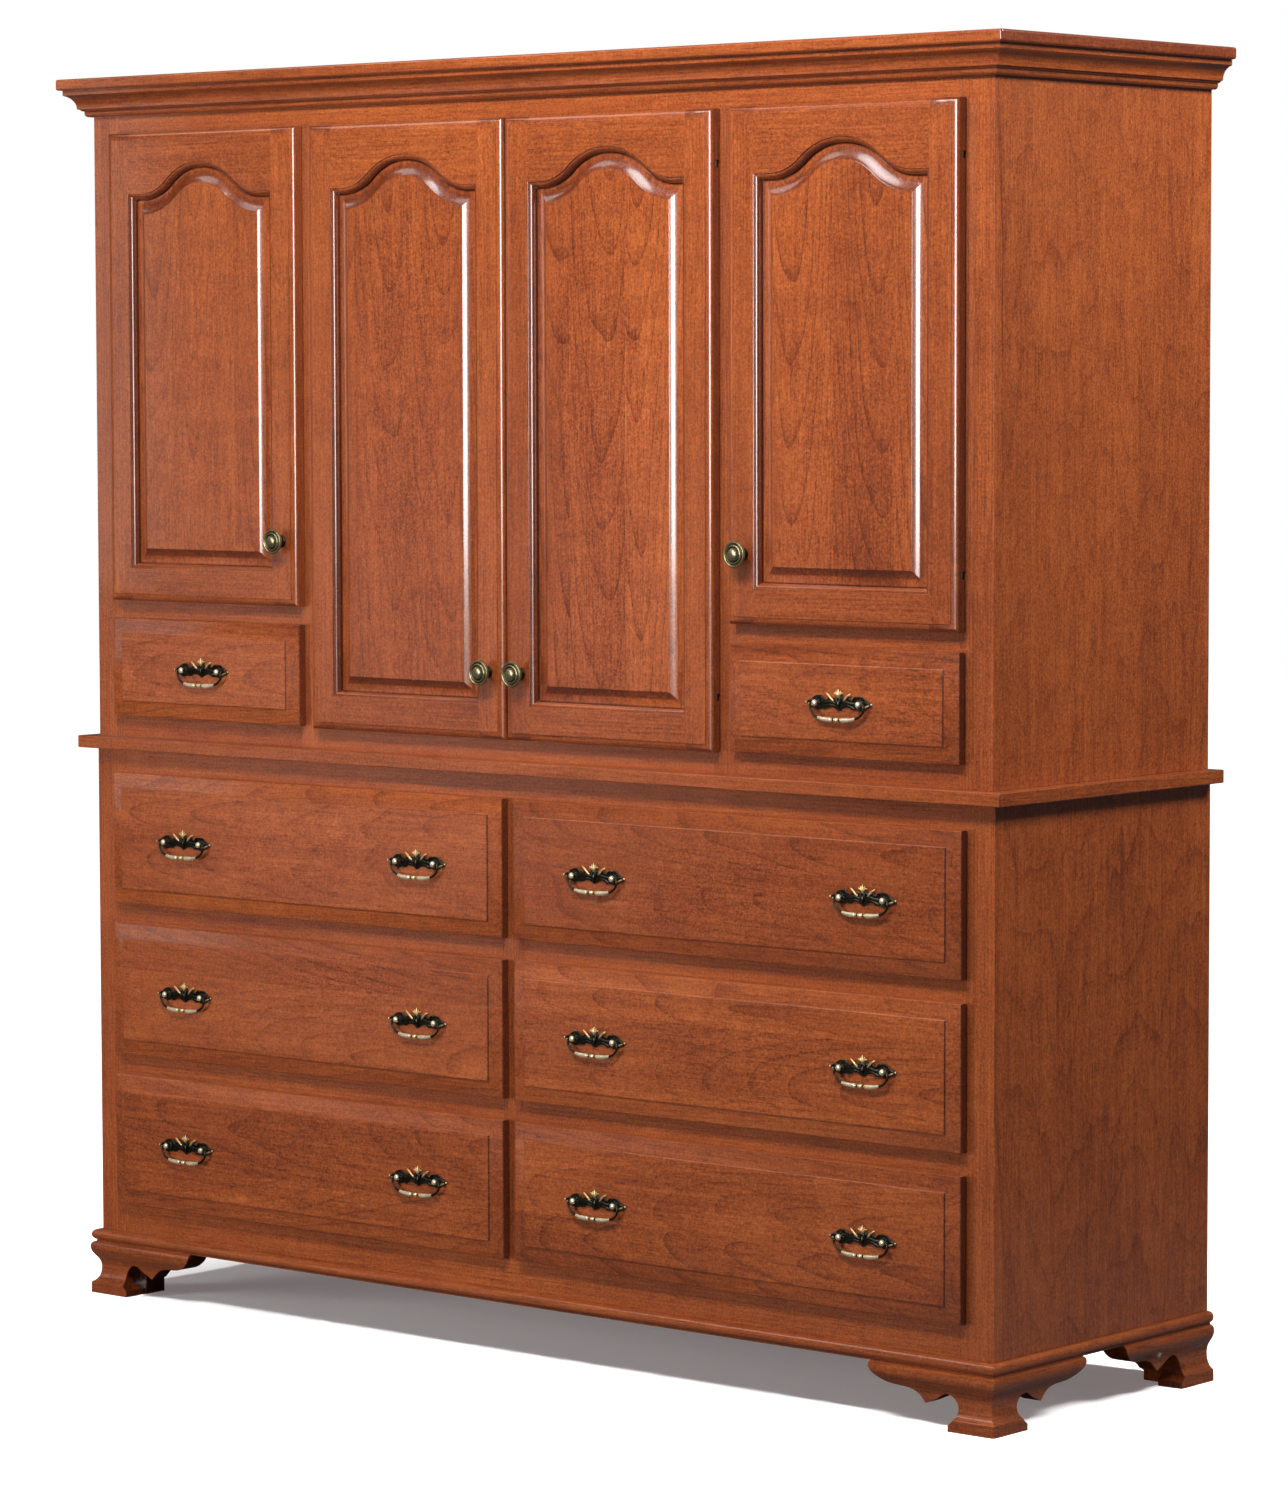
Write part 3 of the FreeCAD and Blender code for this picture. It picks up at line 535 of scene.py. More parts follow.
def base():
    """Bullnose base frame, with a quirk under the round."""
    width, quirk, quirk_height = 60.0, 9.0, 2.0
    profile = [(-width, FOOT_TOP), (quirk, FOOT_TOP), (quirk, FOOT_TOP + quirk_height)]
    round_middle = (6.4, (FOOT_TOP + quirk_height + BASE_TOP) / 2)
    profile += arc(round_middle, 8.5, -80, 80, 10)
    profile += [(-width, BASE_TOP)]
    run_round("base_moulding", profile)
    inside = HALF_UPPER - width
    board("base_rear_rail", (-inside, inside, DEPTH - width, DEPTH, FOOT_TOP, BASE_TOP), "rail")


def dresser_top():
    """The wide top board of the dresser."""
    bm = box_mesh(*node_box("dresser_top"), ease=1.6, segments=3)
    bm.normal_update()
    for face in bm.faces:
        face.material_index = 1 if abs(face.normal.x) > 0.6 else 0
    piece("dresser_top_board", bm, ["top", "side_run"], "case", replaces=["dresser_top"])


# ---- feet

FOOT_LENGTH = 219.0
FOOT_BACK = 26.0            # back of the foot boards, behind the case's faces
FOOT_OUT = 17.0             # how far the pads reach out past the case
BLOCK = 40.0                # width of the corner blocks
CUT_ROOM = 6.0              # how far a cutting solid passes what it cuts
OGEE = [
    (15.7, 0.0), (15.5, 0.6), (15.1, 16.4), (14.6, 17.2), (11.2, 19.4), (8.6, 22.0), (6.2, 26.0),
    (4.6, 31.0), (3.8, 36.5), (3.7, 42.0), (4.3, 47.0), (5.7, 51.5), (8.1, 55.6), (11.0, 59.6),
    (13.6, 63.6), (15.4, 67.8), (16.2, 72.0), (16.0, 76.0), (14.6, 79.2), (12.0, 81.2), (9.0, 82.0),
]
# The scalloped lower edge, as (distance from the foot's corner, height): pad, hollow, point, wing.
SCALLOP = [
    (80.0, 0.0), (80.0, 9.0), (76.0, 12.0), (72.4, 16.0), (70.0, 21.0), (69.0, 26.5), (69.6, 32.5),
    (72.0, 38.5), (75.8, 43.6), (81.0, 47.6), (87.0, 49.6), (93.0, 49.0), (98.5, 46.2), (104.5, 42.2),
    (111.0, 39.0), (118.0, 36.0), (126.0, 32.4), (129.5, 35.4), (133.5, 39.6), (138.5, 44.0),
    (145.0, 47.8), (153.0, 50.4), (162.0, 51.6), (173.0, 52.0), (184.0, 53.0), (194.0, 55.4),
    (202.0, 59.0), (209.0, 63.6), (214.5, 68.6), (218.0, 74.0), (219.0, 80.0), (218.4, 82.0),
]


def object_from(bm, name):
    """A temporary object that takes over a bmesh in millimetres."""
    bmesh.ops.recalc_face_normals(bm, faces=bm.faces)
    mesh = bpy.data.meshes.new(name)
    bm.to_mesh(mesh)
    bm.free()
    return linked(name, mesh)


def prism(points, direction):
    """A temporary solid swept from a flat outline."""
    far = [Vector(point) + Vector(direction) for point in points]
    return object_from(solid_through([points, far]), "prism")


def boolean(target, cutters, operation):
    """Apply exact booleans to a temporary object and return the result as a bmesh."""
    for cutter in cutters:
        modifier = target.modifiers.new("cut", "BOOLEAN")
        modifier.operation = operation
        modifier.solver = "EXACT"
        modifier.object = cutter
    depsgraph = bpy.context.evaluated_depsgraph_get()
    mesh = bpy.data.meshes.new_from_object(target.evaluated_get(depsgraph))
    bm = bmesh.new()
    bm.from_mesh(mesh)
    bpy.data.meshes.remove(mesh)
    for made in [target, *cutters]:
        data = made.data
        bpy.data.objects.remove(made)
        bpy.data.meshes.remove(data)
    return bm


def bracket(square):
    """One bracket along the front from the right corner; square leaves its end unmitred."""
    corner = HALF_UPPER + FOOT_OUT
    start = corner - FOOT_LENGTH - CUT_ROOM
    ogee = [(-FOOT_BACK, 0.0)] + OGEE + [(-FOOT_BACK, FOOT_TOP)]
    curve = prism([(start, -e, z) for e, z in ogee], (FOOT_LENGTH + 2 * CUT_ROOM, 0, 0))
    reach = 24.0
    rear = FOOT_BACK + CUT_ROOM
    outline = [(-8.0, 0.0)] + SCALLOP + [(-8.0, FOOT_TOP)]
    shape = prism([(corner - d, -reach, z) for d, z in outline], (0, reach + rear, 0))
    ends = (corner, corner) if square else (HALF_UPPER + reach, HALF_UPPER - rear)
    below = -10.0
    plan = [(start + below, -reach, below), (ends[0], -reach, below), (ends[1], rear, below),
            (start + below, rear, below)]
    mitre = prism(plan, (0, 0, FOOT_TOP - 2 * below))
    bm = boolean(curve, [shape, mitre], "INTERSECT")
    bmesh.ops.dissolve_degenerate(bm, edges=bm.edges[:], dist=0.01)
    return bm


def along_side(bm, turned):
    """Turn a front bracket to run along the right side; turned gives its new y from its old x."""
    for vertex in bm.verts:
        x, y, z = vertex.co
        vertex.co = (HALF_UPPER - y, turned(x), z)
    return bm


def feet():
    """Four ogee bracket feet with their blocks and braces."""
    front, square = bracket(False), bracket(True)
    inner = HALF_UPPER - FOOT_BACK
    rear = DEPTH - BOARD
    brace_tip, brace_step, brace_rise = inner - 150, inner - 60, 55
    for side, s in SIDES:
        front_side = along_side(front.copy(), lambda x: HALF_UPPER - x)
        rear_side = along_side(square.copy(), lambda x: DEPTH - (HALF_UPPER + FOOT_OUT - x))
        brackets = (("front_face", front.copy(), "rail"), ("front_side", front_side, "side_run"),
                    ("rear_side", rear_side, "side_run"))
        for name, bm, material in brackets:
            piece(f"foot_{side}_{name}", flipped(bm, s), material, "case", smooth=28,
                  replaces=["bracket_feet"])
        for name, y in (("front", FOOT_BACK), ("rear", rear - BLOCK)):
            board(f"foot_{side}_{name}_block", (s * inner, s * (inner - BLOCK), y, y + BLOCK, 0, FOOT_TOP),
                  "stile", ease=1.0)
        outline = [(inner, 0), (brace_step, 0), (brace_tip, brace_rise), (brace_tip, FOOT_TOP),
                   (inner, FOOT_TOP)]
        brace = prism([(s * x, rear, z) for x, z in outline], (0, BOARD, 0))
        piece(f"foot_{side}_rear_brace", boolean(brace, [], "INTERSECT"), "rail", "case")
    front.free()
    square.free()


# ---- fronts

def arch_loop(middle, half, foot, shoulder, inset, y):
    """The door opening's outline, drawn in by an inset, always with the same number of points.

    Each half goes up the side, along the hollow shoulder and over the round peak. The loops of a
    profile share their count of points, so where the side has passed the level shoulder, the
    hollow starts part of the way along."""
    side = half - inset
    low_r = ARCH_SHOULDER_R + inset
    high_r = ARCH_PEAK_R - inset
    low_centre = shoulder + ARCH_SHOULDER_R
    peak_centre = shoulder + (ARCH_PEAK_R + ARCH_SHOULDER_R) * (1 - math.cos(ARCH_TURN)) - ARCH_PEAK_R
    first = max(0.0, math.asin(max(-1.0, min(1.0, (ARCH_SPAN - side) / low_r))))

    def hollow(turn):
        return ARCH_SPAN - low_r * math.sin(turn), low_centre - low_r * math.cos(turn)

    right = [(side, foot + inset)]
    right.append((side, shoulder - inset if side > ARCH_SPAN else hollow(first)[1]))
    for i in range(ARCH_STEPS):
        share = (i + (0.0 if side > ARCH_SPAN else 0.35)) / ARCH_STEPS
        right.append(hollow(first + (ARCH_TURN - first) * share))
    for i in range(ARCH_STEPS + 1):
        turn = ARCH_TURN * (1 - i / ARCH_STEPS)
        right.append((high_r * math.sin(turn), peak_centre + high_r * math.cos(turn)))
    points = right + [(-u, z) for u, z in reversed(right[:-1])]
    return [(middle + u, y, z) for u, z in points]


def rectangle(x0, x1, z0, z1, inset, y):
    """Four corners of a rectangle drawn in by an inset."""
    return [(x0 + inset, y, z0 + inset), (x1 - inset, y, z0 + inset),
            (x1 - inset, y, z1 - inset), (x0 + inset, y, z1 - inset)]


def fill_between(bm, outer, inner):
    """A flat face with a hole, between two loops in one plane."""
    edges = []
    for loop in (outer, inner):
        for i in range(len(loop)):
            edge = bm.edges.get((loop[i - 1], loop[i]))
            edges.append(edge or bm.edges.new((loop[i - 1], loop[i])))
    bmesh.ops.triangle_fill(bm, edges=edges, use_beauty=True, use_dissolve=False)


def door_frame_mesh(x0, x1, z0, z1, arch):
    """The whole door frame as one closed skin, before it is split into its boards."""
    bm = bmesh.new()
    outer = [ring_of(bm, rectangle(x0, x1, z0, z1, inset, FACE_Y + depth)) for inset, depth in DOOR_EDGE]
    inner = [ring_of(bm, arch(inset, FACE_Y + depth)) for inset, depth in STICKING_EDGE]
    inner.append(ring_of(bm, arch(STICKING, FRONT_BACK_Y)))
    skin_rings(bm, outer)
    skin_rings(bm, inner)
    fill_between(bm, outer[0], inner[0])
    fill_between(bm, outer[-1], inner[-1])
    bmesh.ops.recalc_face_normals(bm, faces=bm.faces)
    return bm


def panel_mesh(arch):
    """A raised panel: a coved bevel, a small step and a flat field."""
    return solid_through([arch(inset, FACE_Y + depth) for inset, depth in [PANEL_BACK] + PANEL_EDGE])


HINGE_FROM_END = 77.0
PIN_INSET = 3.0             # pin axis from the door's hinged edge
PIN_Y = -7.5
PIN_RADIUS = 1.4
PIN_LENGTH = 34.0
NOTCH_HALF = 5.25           # half its height
NOTCH_INSET = 13.0          # how far it goes in from the edge
NOTCH_FRONT = -11.2
NOTCH_SWEEP = 15.0          # long enough to come out of the back


def notched(bm, hinge_x, inward, levels):
    """Cut the two hinge notches into a stile."""
    stile = object_from(bm, "stile")
    x0, x1 = sorted((hinge_x - inward * 2, hinge_x + inward * NOTCH_INSET))
    cutters = []
    for level in levels:
        low, high = level - NOTCH_HALF, level + NOTCH_HALF
        outline = [(x, NOTCH_FRONT, z) for x, z in ((x0, low), (x1, low), (x1, high), (x0, high))]
        cutters.append(prism(outline, (0, NOTCH_SWEEP, 0)))
    return boolean(stile, cutters, "DIFFERENCE")


def door(name, hinge_side):
    """Stiles, rails, panel, knob and hinge pins of one door."""
    x0, x1, _, _, z0, z1 = node_box(name)
    middle = (x0 + x1) / 2
    half = (x1 - x0) / 2 - STILE

    def arch(inset, y):
        return arch_loop(middle, half, z0 + BOTTOM_RAIL, z1 - SHOULDER_RAIL, inset, y)

    whole = door_frame_mesh(x0, x1, z0, z1, arch)
    left_line, right_line = Vector((x0 + STILE, 0, 0)), Vector((x1 - STILE, 0, 0))
    waist = Vector((0, 0, (z0 + z1) / 2))
    right, up = Vector((1, 0, 0)), Vector((0, 0, 1))
    between = split_off(whole, left_line, right)
    rails = split_off(between, right_line, -right)
    parts = {
        "stile_left": (split_off(whole, left_line, -right), "stile"),
        "stile_right": (split_off(whole, right_line, right), "stile"),
        "top_rail": (split_off(rails, waist, up), "rail"),
        "bottom_rail": (split_off(rails, waist, -up), "rail"),
    }
    for unused in (whole, between, rails):
        unused.free()
    hinge_x, inward, hung = (x0, 1, "stile_left") if hinge_side < 0 else (x1, -1, "stile_right")
    levels = (z0 + HINGE_FROM_END, z1 - HINGE_FROM_END)
    for part, (bm, material) in parts.items():
        if part == hung:
            bm = notched(bm, hinge_x, inward, levels)
        piece(f"{name}_{part}", bm, material, name, replaces=[name])
    piece(f"{name}_panel", panel_mesh(arch), "panel", name, replaces=[name], smooth=24)
    hardware = f"{name}_knob_and_pins"
    for number, level in enumerate(levels, 1):
        bm = bmesh.new()
        bmesh.ops.create_cone(bm, cap_ends=True, segments=20, radius1=PIN_RADIUS, radius2=PIN_RADIUS,
                              depth=PIN_LENGTH)
        bmesh.ops.translate(bm, verts=bm.verts, vec=(hinge_x + inward * PIN_INSET, PIN_Y, level))
        piece(f"{name}_hinge_pin_{number}", bm, "steel", name, "steel", replaces=[hardware])
    knob(name, hardware, x0, x1, z0)


# ---- knobs

# (radius, stand-out) from the foot of the stem to the middle of the dome.
KNOB_PROFILE = [
    (0, 0), (9.2, 0), (9.4, 0.8), (8.8, 1.8), (7.0, 3.0), (6.2, 5.0), (6.1, 7.6), (6.9, 10.0),
    (8.8, 12.2), (12.0, 14.0), (15.2, 15.4), (17.4, 16.8), (18.4, 18.2), (18.75, 19.6), (18.5, 20.9),
    (17.8, 21.9), (16.9, 22.2), (16.0, 21.9), (15.3, 21.0), (14.7, 20.4), (14.1, 20.9), (13.7, 22.1),
    (13.0, 23.0), (12.1, 23.2), (11.4, 22.6), (10.9, 21.5), (10.4, 21.0), (9.9, 21.6), (9.5, 23.2),
    (8.6, 24.8), (7.0, 26.2), (4.8, 27.3), (2.4, 27.9), (0, 28.0),
]
KNOB_STEM = 13.0            # the stem ends this far out
KNOB_FACE = 20.0            # the grooved face starts this far out
KNOB_GROOVES = [(13.9, 15.6), (9.7, 11.2)]      # dark rings of patina and painted shade, as radii
KNOB_PLACE = {"inner": (30.0, 98.0), "outer": (29.5, 98.5)}     # from the free edge, and up


def lathe(bm, profile, segments, centre=(0, 0), slot=0):
    """Turn (radius, stand-out) pairs about an axis that points out of the front."""
    rings = []
    for radius, out in profile:
        middle = Vector((centre[0], -out, centre[1]))
        rings.append(circle(bm, middle, Vector((radius, 0, 0)), Vector((0, 0, radius)), segments)
                     if radius else ring_of(bm, [middle]))
    for first, second in zip(rings, rings[1:]):
        if len(first) == 1 or len(second) == 1:
            tip, ring = (first[0], second) if len(first) == 1 else (second[0], first)
            for i in range(segments):
                bm.faces.new((tip, ring[i], ring[(i + 1) % segments])).material_index = slot
        else:
            skin(bm, first, second, slot=slot)


def knob(name, hardware, x0, x1, z0):
    """A ringed, domed brass knob at the door's lower free corner, with dark patina and painted shade in its
    grooves and painted shade on its stem.
    """
    inset, height = KNOB_PLACE[name[:5]]
    x = x1 - inset if name.endswith("left") else x0 + inset
    bm = bmesh.new()
    lathe(bm, KNOB_PROFILE, 56)
    for face in bm.faces:
        middle = face.calc_center_median()
        radius = math.hypot(middle.x, middle.z)
        in_groove = any(low < radius < high for low, high in KNOB_GROOVES)
        # the stem gets the dark slot as painted shade behind the knob; the groove rings get it as dark
        # patina deepened by painted shade
        if -middle.y < KNOB_STEM or -middle.y > KNOB_FACE and in_groove:
            face.material_index = 1
    piece(f"{name}_knob", bm, ["knob", "bronze"], name, "antique_brass", replaces=[hardware],
          smooth=50, at=(x, FACE_Y, z0 + height))


# ---- drawers

BOX_WALL = 13.0
BOX_BACK = 455.0
BOX_INSET = 12.0            # the box inside the front's ends
BOX_RISE = 17.0             # its bottom above the front's
BOX_DROP = 25.0             # its top below the front's
BOTTOM_RISE, BOTTOM_THICK = 10.0, 6.0


def drawer(name):
    """A moulded front and the boards of its box."""
    x0, x1, _, _, z0, z1 = node_box(name)
    bm = solid_through([rectangle(x0, x1, z0, z1, inset, FACE_Y + depth) for inset, depth in DRAWER_EDGE])
    piece(f"{name}_front", bm, "front", name, replaces=[name], smooth=20)
    left, right = x0 + BOX_INSET, x1 - BOX_INSET
    low, high = z0 + BOX_RISE, z1 - BOX_DROP
    floor = low + BOTTOM_RISE
    front, rear = FRONT_BACK_Y + BOX_WALL, BOX_BACK - BOX_WALL
    in_left, in_right = left + BOX_WALL, right - BOX_WALL
    walls = {
        "side_left": ((left, in_left, FRONT_BACK_Y, BOX_BACK, low, high), "inner"),
        "side_right": ((in_right, right, FRONT_BACK_Y, BOX_BACK, low, high), "inner"),
        "inner_front": ((in_left, in_right, FRONT_BACK_Y, front, low, high), "inner_x"),
        "back": ((in_left, in_right, rear, BOX_BACK, low, high), "inner_x"),
        "bottom": ((in_left, in_right, front, rear, floor, floor + BOTTOM_THICK), "ply_flat"),
    }
    for part, (limits, material) in walls.items():
        board(f"{name}_{part}", limits, material, body=name, slot="secondary_wood", ease=0.8,
              replaces=[name])


# ---- bail pulls

POST_HALF = 38.1
PULL_OUT = 7.0              # bail pivot in front of the drawer's face
PULL_SMOOTH = 50.0          # creases sharper than this many degrees stay sharp


def spline(points, steps):
    """A smooth open curve through points (Catmull-Rom), as a list of vectors."""
    knots = [Vector(point) for point in points]
    knots = [2 * knots[0] - knots[1]] + knots + [2 * knots[-1] - knots[-2]]
    made = []
    for a, b, c, d in zip(knots, knots[1:], knots[2:], knots[3:]):
        for i in range(steps):
            t = i / steps
            made.append(0.5 * (2 * b + (c - a) * t + (2 * a - 5 * b + 4 * c - d) * t * t
                               + (3 * b - a - 3 * c + d) * t ** 3))
    made.append(knots[-2])
    return made


def tube(bm, bar, slot=0, flat=1.0, segments=10, steps=4):
    """A round bar along a smooth line through (x, y, z, radius); flat squashes it in y."""
    path = spline([point[:3] for point in bar], steps)
    sizes = spline([(point[3], 0, 0) for point in bar], steps)
    rings = []
    for i, here in enumerate(path):
        ahead = path[min(i + 1, len(path) - 1)] - path[max(i - 1, 0)]
        ahead.normalize()
        out = (Vector((0, 1, 0)) - ahead * ahead.y).normalized()
        radius = max(sizes[i].x, 0.05)
        rings.append(circle(bm, here, ahead.cross(out) * radius, out * radius * flat, segments))
    closed_run(bm, rings, slot)


def ball(bm, centre, radius, slot=0, squash=1.0, segments=12):
    """A round bead, squashed towards the plate if asked."""
    made = bmesh.ops.create_uvsphere(bm, u_segments=segments, v_segments=segments // 2 + 2,
                                     radius=radius)
    for vertex in made["verts"]:
        vertex.co = Vector((vertex.co.x, vertex.co.y * squash, vertex.co.z)) + Vector(centre)
        for face in vertex.link_faces:
            face.material_index = slot


def collar(bm, x, half, radius, y, z, slot):
    """A short ring round the bail's grip, with rounded rims."""
    rings = []
    for along, share in ((-1, 0.6), (-0.7, 0.92), (0, 1.0), (0.7, 0.92), (1, 0.6)):
        middle = Vector((x + along * half, y, z))
        rings.append(circle(bm, middle, Vector((0, radius * share, 0)), Vector((0, 0, radius * share)), 14))
    closed_run(bm, rings, slot)


METALS = ["bronze", "gilt", "brass"]
BRONZE, GILT, BRASS = 0, 1, 2
# One half of the plate's outline, from the crest down to the lower point: (across, up).
PLATE_OUTLINE = [
    (0, 14.5), (3.2, 13.0), (5.2, 9.6), (8.6, 7.2), (12.4, 8.0), (15.0, 10.6), (17.4, 10.2),
    (19.4, 7.0), (22.6, 5.2), (26.6, 6.4), (30.4, 9.2), (35.6, 10.8), (41.0, 10.2), (45.4, 7.4),
    (49.0, 4.6), (53.0, 2.8), (57.0, 1.6), (57.4, -0.8), (53.4, -2.6), (49.0, -4.6), (44.6, -7.4),
    (39.6, -9.2), (34.4, -9.0), (29.6, -7.2), (26.0, -8.4), (22.4, -8.0), (19.0, -5.6), (14.2, -4.8),
    (9.6, -5.4), (6.0, -6.6), (3.0, -8.4), (0, -10.0),
]
# Relief on each half of the plate: material, flatness and a line of (x, y, z, radius).
SCROLLS = [
    (BRONZE, 0.7, [(5, -2.2, 0.5, 1.0), (13, -3.4, 2.6, 2.5), (22, -3.2, 0.8, 2.3), (29, -2.2, 1.6, 0.6)]),
    (BRONZE, 0.7, [(6, -2.2, -3.0, 0.7), (15, -3.0, -1.8, 1.6), (24, -2.8, -4.6, 1.8),
                   (29, -2.0, -5.6, 0.5)]),
    (GILT, 0.8, [(9, -2.4, 3.6, 1.2), (12.5, -3.4, 7.0, 1.7), (16.4, -3.6, 10.8, 1.5),
                 (20.2, -3.0, 13.4, 1.0), (21.4, -2.6, 14.6, 0.3)]),
    (BRONZE, 0.8, [(24, -2.4, 4.0, 0.6), (27, -3.2, 7.4, 1.4), (31, -3.2, 10.2, 1.2),
                   (33.6, -2.6, 10.0, 0.4)]),
    (BRONZE, 0.8, [(44, -2.2, 4.2, 0.8), (49, -3.2, 3.0, 1.9), (54, -2.8, 0.8, 1.3),
                   (57.4, -2.4, 0.3, 0.5)]),
    (GILT, 0.7, [(44, -2.0, -4.6, 0.7), (49, -2.8, -2.8, 1.5), (54, -2.6, -0.8, 0.6)]),
    (GILT, 0.7, [(1.2, -2.4, 10.5, 1.3), (3.4, -3.2, 13.2, 1.5), (6.6, -3.2, 14.6, 1.0),
                 (8.4, -2.6, 14.4, 0.3)]),
    (GILT, 0.7, [(1.0, -2.4, 11.5, 1.1), (2.4, -3.2, 15.0, 1.2), (4.4, -2.8, 18.0, 0.3)]),
    (BRONZE, 0.8, [(0.8, -2.6, -1.0, 0.7), (3.0, -3.4, 2.6, 1.5), (3.2, -3.4, 7.0, 1.5),
                   (1.2, -3.0, 10.6, 0.8)]),
]
CREST = [(0, -2.6, 8.0, 1.4), (0, -3.8, 12.6, 1.9), (0, -3.4, 17.0, 1.4), (0, -2.6, 20.3, 0.25)]
KEEL = [(0, -2.2, 5.0, 1.2), (0, -3.9, 0.6, 2.4), (0, -3.4, -4.6, 1.9), (0, -2.2, -9.4, 0.4)]
# The bail's right half, with its pivot line at z = 0.
ARM = [(32.4, 0, 1.55), (38, 0, 1.55), (43.4, -0.2, 1.6), (46.4, -2.4, 1.75), (46.8, -6.6, 1.7),
       (45.2, -11.2, 1.6), (42.0, -15.0, 1.7), (37.6, -18.0, 1.9), (32.6, -19.9, 2.1)]
DROP = -22.5
GRIP = [(34.4, -19.2, 1.3), (31.6, -20.1, 2.1), (25.5, -21.5, 2.7), (18.0, -22.3, 3.25),
        (10.5, DROP, 3.3), (8.6, DROP, 2.4)]
COLLARS = [(7.6, 3.1, 0.9, GILT), (5.4, 2.2, 1.0, BRONZE), (3.0, 3.2, 1.0, GILT)]


def flat_plate(bm, half_outline, thick, bevel):
    """A plate with a rounded rim, cut to a symmetric outline."""
    points = half_outline + [(-u, w) for u, w in reversed(half_outline[1:-1])]
    curve = bpy.data.curves.new("plate", "CURVE")
    curve.dimensions = "2D"
    curve.fill_mode = "BOTH"
    curve.extrude = thick / 2 - bevel
    curve.bevel_depth = bevel
    curve.bevel_resolution = 2
    curve.offset = -bevel
    line = curve.splines.new("POLY")
    smooth = spline([(u, w, 0) for u, w in points + points[:1]], 3)[:-1]
    line.points.add(len(smooth) - 1)
    for target, point in zip(line.points, smooth):
        target.co = (point.x, point.y, 0, 1)
    line.use_cyclic_u = True
    holder = linked("plate", curve)
    depsgraph = bpy.context.evaluated_depsgraph_get()
    mesh = bpy.data.meshes.new_from_object(holder.evaluated_get(depsgraph))
    mesh.transform(Matrix(((1, 0, 0, 0), (0, 0, -1, -thick / 2), (0, 1, 0, 0), (0, 0, 0, 1))))
    bm.from_mesh(mesh)
    bpy.data.objects.remove(holder)
    bpy.data.curves.remove(curve)
    bpy.data.meshes.remove(mesh)


def rosette(bm, centre, start):
    """A ringed rosette with petals round a polished dome; start is how far out it sits."""
    u, w = centre
    lathe(bm, [(8.3, start - 1.2), (8.3, start + 0.5), (7.5, start + 1.3), (6.7, start + 0.9),
               (6.0, start + 1.0), (0, start + 1.0)], 28, centre, BRONZE)
    for i in range(8):
        turn = 2 * math.pi * i / 8
        petal = (u + 5.3 * math.cos(turn), -start - 1.2, w + 5.3 * math.sin(turn))
        ball(bm, petal, 1.75, BRONZE, 0.7, 8)
    lathe(bm, [(4.0, start + 0.6), (4.1, start + 1.7), (3.4, start + 2.0), (3.6, start + 3.0),
               (3.5, start + 4.6)], 20, centre, BRONZE)
    lathe(bm, [(3.5, start + 4.4), (4.4, start + 5.0), (4.6, start + 6.1), (4.1, start + 7.4),
               (2.9, start + 8.6), (1.4, start + 9.3), (0, start + 9.5)], 20, centre, BRASS)


def pull_plate_mesh():
    """The whole cast plate: cartouche, crest, scrolls, tips and two rosettes."""
    bm = bmesh.new()
    flat_plate(bm, PLATE_OUTLINE, 2.2, 0.7)
    for s in (-1, 1):
        rosette(bm, (s * POST_HALF, 0), 1.9)
        for slot, flat, line in SCROLLS:
            tube(bm, [(s * x, y, z, radius) for x, y, z, radius in line], slot, flat)
        ball(bm, (s * 57.0, -2.2, 0.4), 1.45, BRASS, 0.9, 12)
        ball(bm, (s * 26.0, -2.4, -6.2), 1.7, BRONZE, 0.8, 10)
    tube(bm, CREST, GILT, 0.7)
    ball(bm, (0, -3.0, 11.0), 2.3, GILT, 0.7, 12)
    tube(bm, KEEL, BRONZE, 0.7)
    return bm


def bail_mesh():
    """Slim curved arms, two swelling grips and a ring, bead and ring in the middle."""
    bm = bmesh.new()
    y = -PULL_OUT
    for s in (-1, 1):
        tube(bm, [(s * x, y, z, radius) for x, z, radius in ARM], BRONZE, segments=12)
        ball(bm, (s * 46.3, y, -4.6), 2.35, BRONZE, 1.0, 12)
        tube(bm, [(s * x, y, z, radius) for x, z, radius in GRIP], BRASS, segments=14)
        for x, radius, half, slot in COLLARS:
            collar(bm, s * x, half, radius, y, DROP, slot)
    ball(bm, (0, y, DROP), 3.3, BRASS, 1.0, 14)
    return bm


def pulls():
    """Fourteen pulls, each a plate on the drawer and a bail that swings."""
    plate = mesh_of("pull_plate", pull_plate_mesh(), METALS, PULL_SMOOTH)
    bail = mesh_of("bail", bail_mesh(), METALS, PULL_SMOOTH)
    for joint in frame["joints"]:
        if "_bail_" not in joint["name"]:
            continue
        x, _, z = joint["pos_m"]
        at = (x / MM, FACE_Y, z / MM)
        holder, swinging = joint["parent"], joint["child"]
        show(f"{holder}_plate_{swinging[-1]}", plate, holder, "antique_brass",
             [f"{holder}_pull_plates"], at)
        show(f"{swinging}_handle", bail, swinging, "antique_brass", [swinging], at)


# ---- case

def cases():
    """Boards of both cases, as eased boards where the CAD board is plain."""
    for case in ("lower", "upper"):
        for side, _ in SIDES:
            node_board(f"{case}_side_{side}", f"{case}_side_panel_{side}", "side", ease=0.5)
        node_board(f"{case}_bottom", f"{case}_bottom_board", "top")
        node_board(f"{case}_back", f"{case}_back_panel", "ply", slot="secondary_wood", ease=0.4)
    node_board("lower_divider", "lower_divider_board", "side")
    node_board("upper_top", "upper_top_board", "top")


def face_frame(node, boards):
    """Stiles and rails of a face frame, given as limits in x and z."""
    for name, (x0, x1, z0, z1, material) in boards.items():
        board(f"{node}_{name}", (x0, x1, 0, FRAME_BACK, z0, z1), material, ease=0.25,
              replaces=[node])


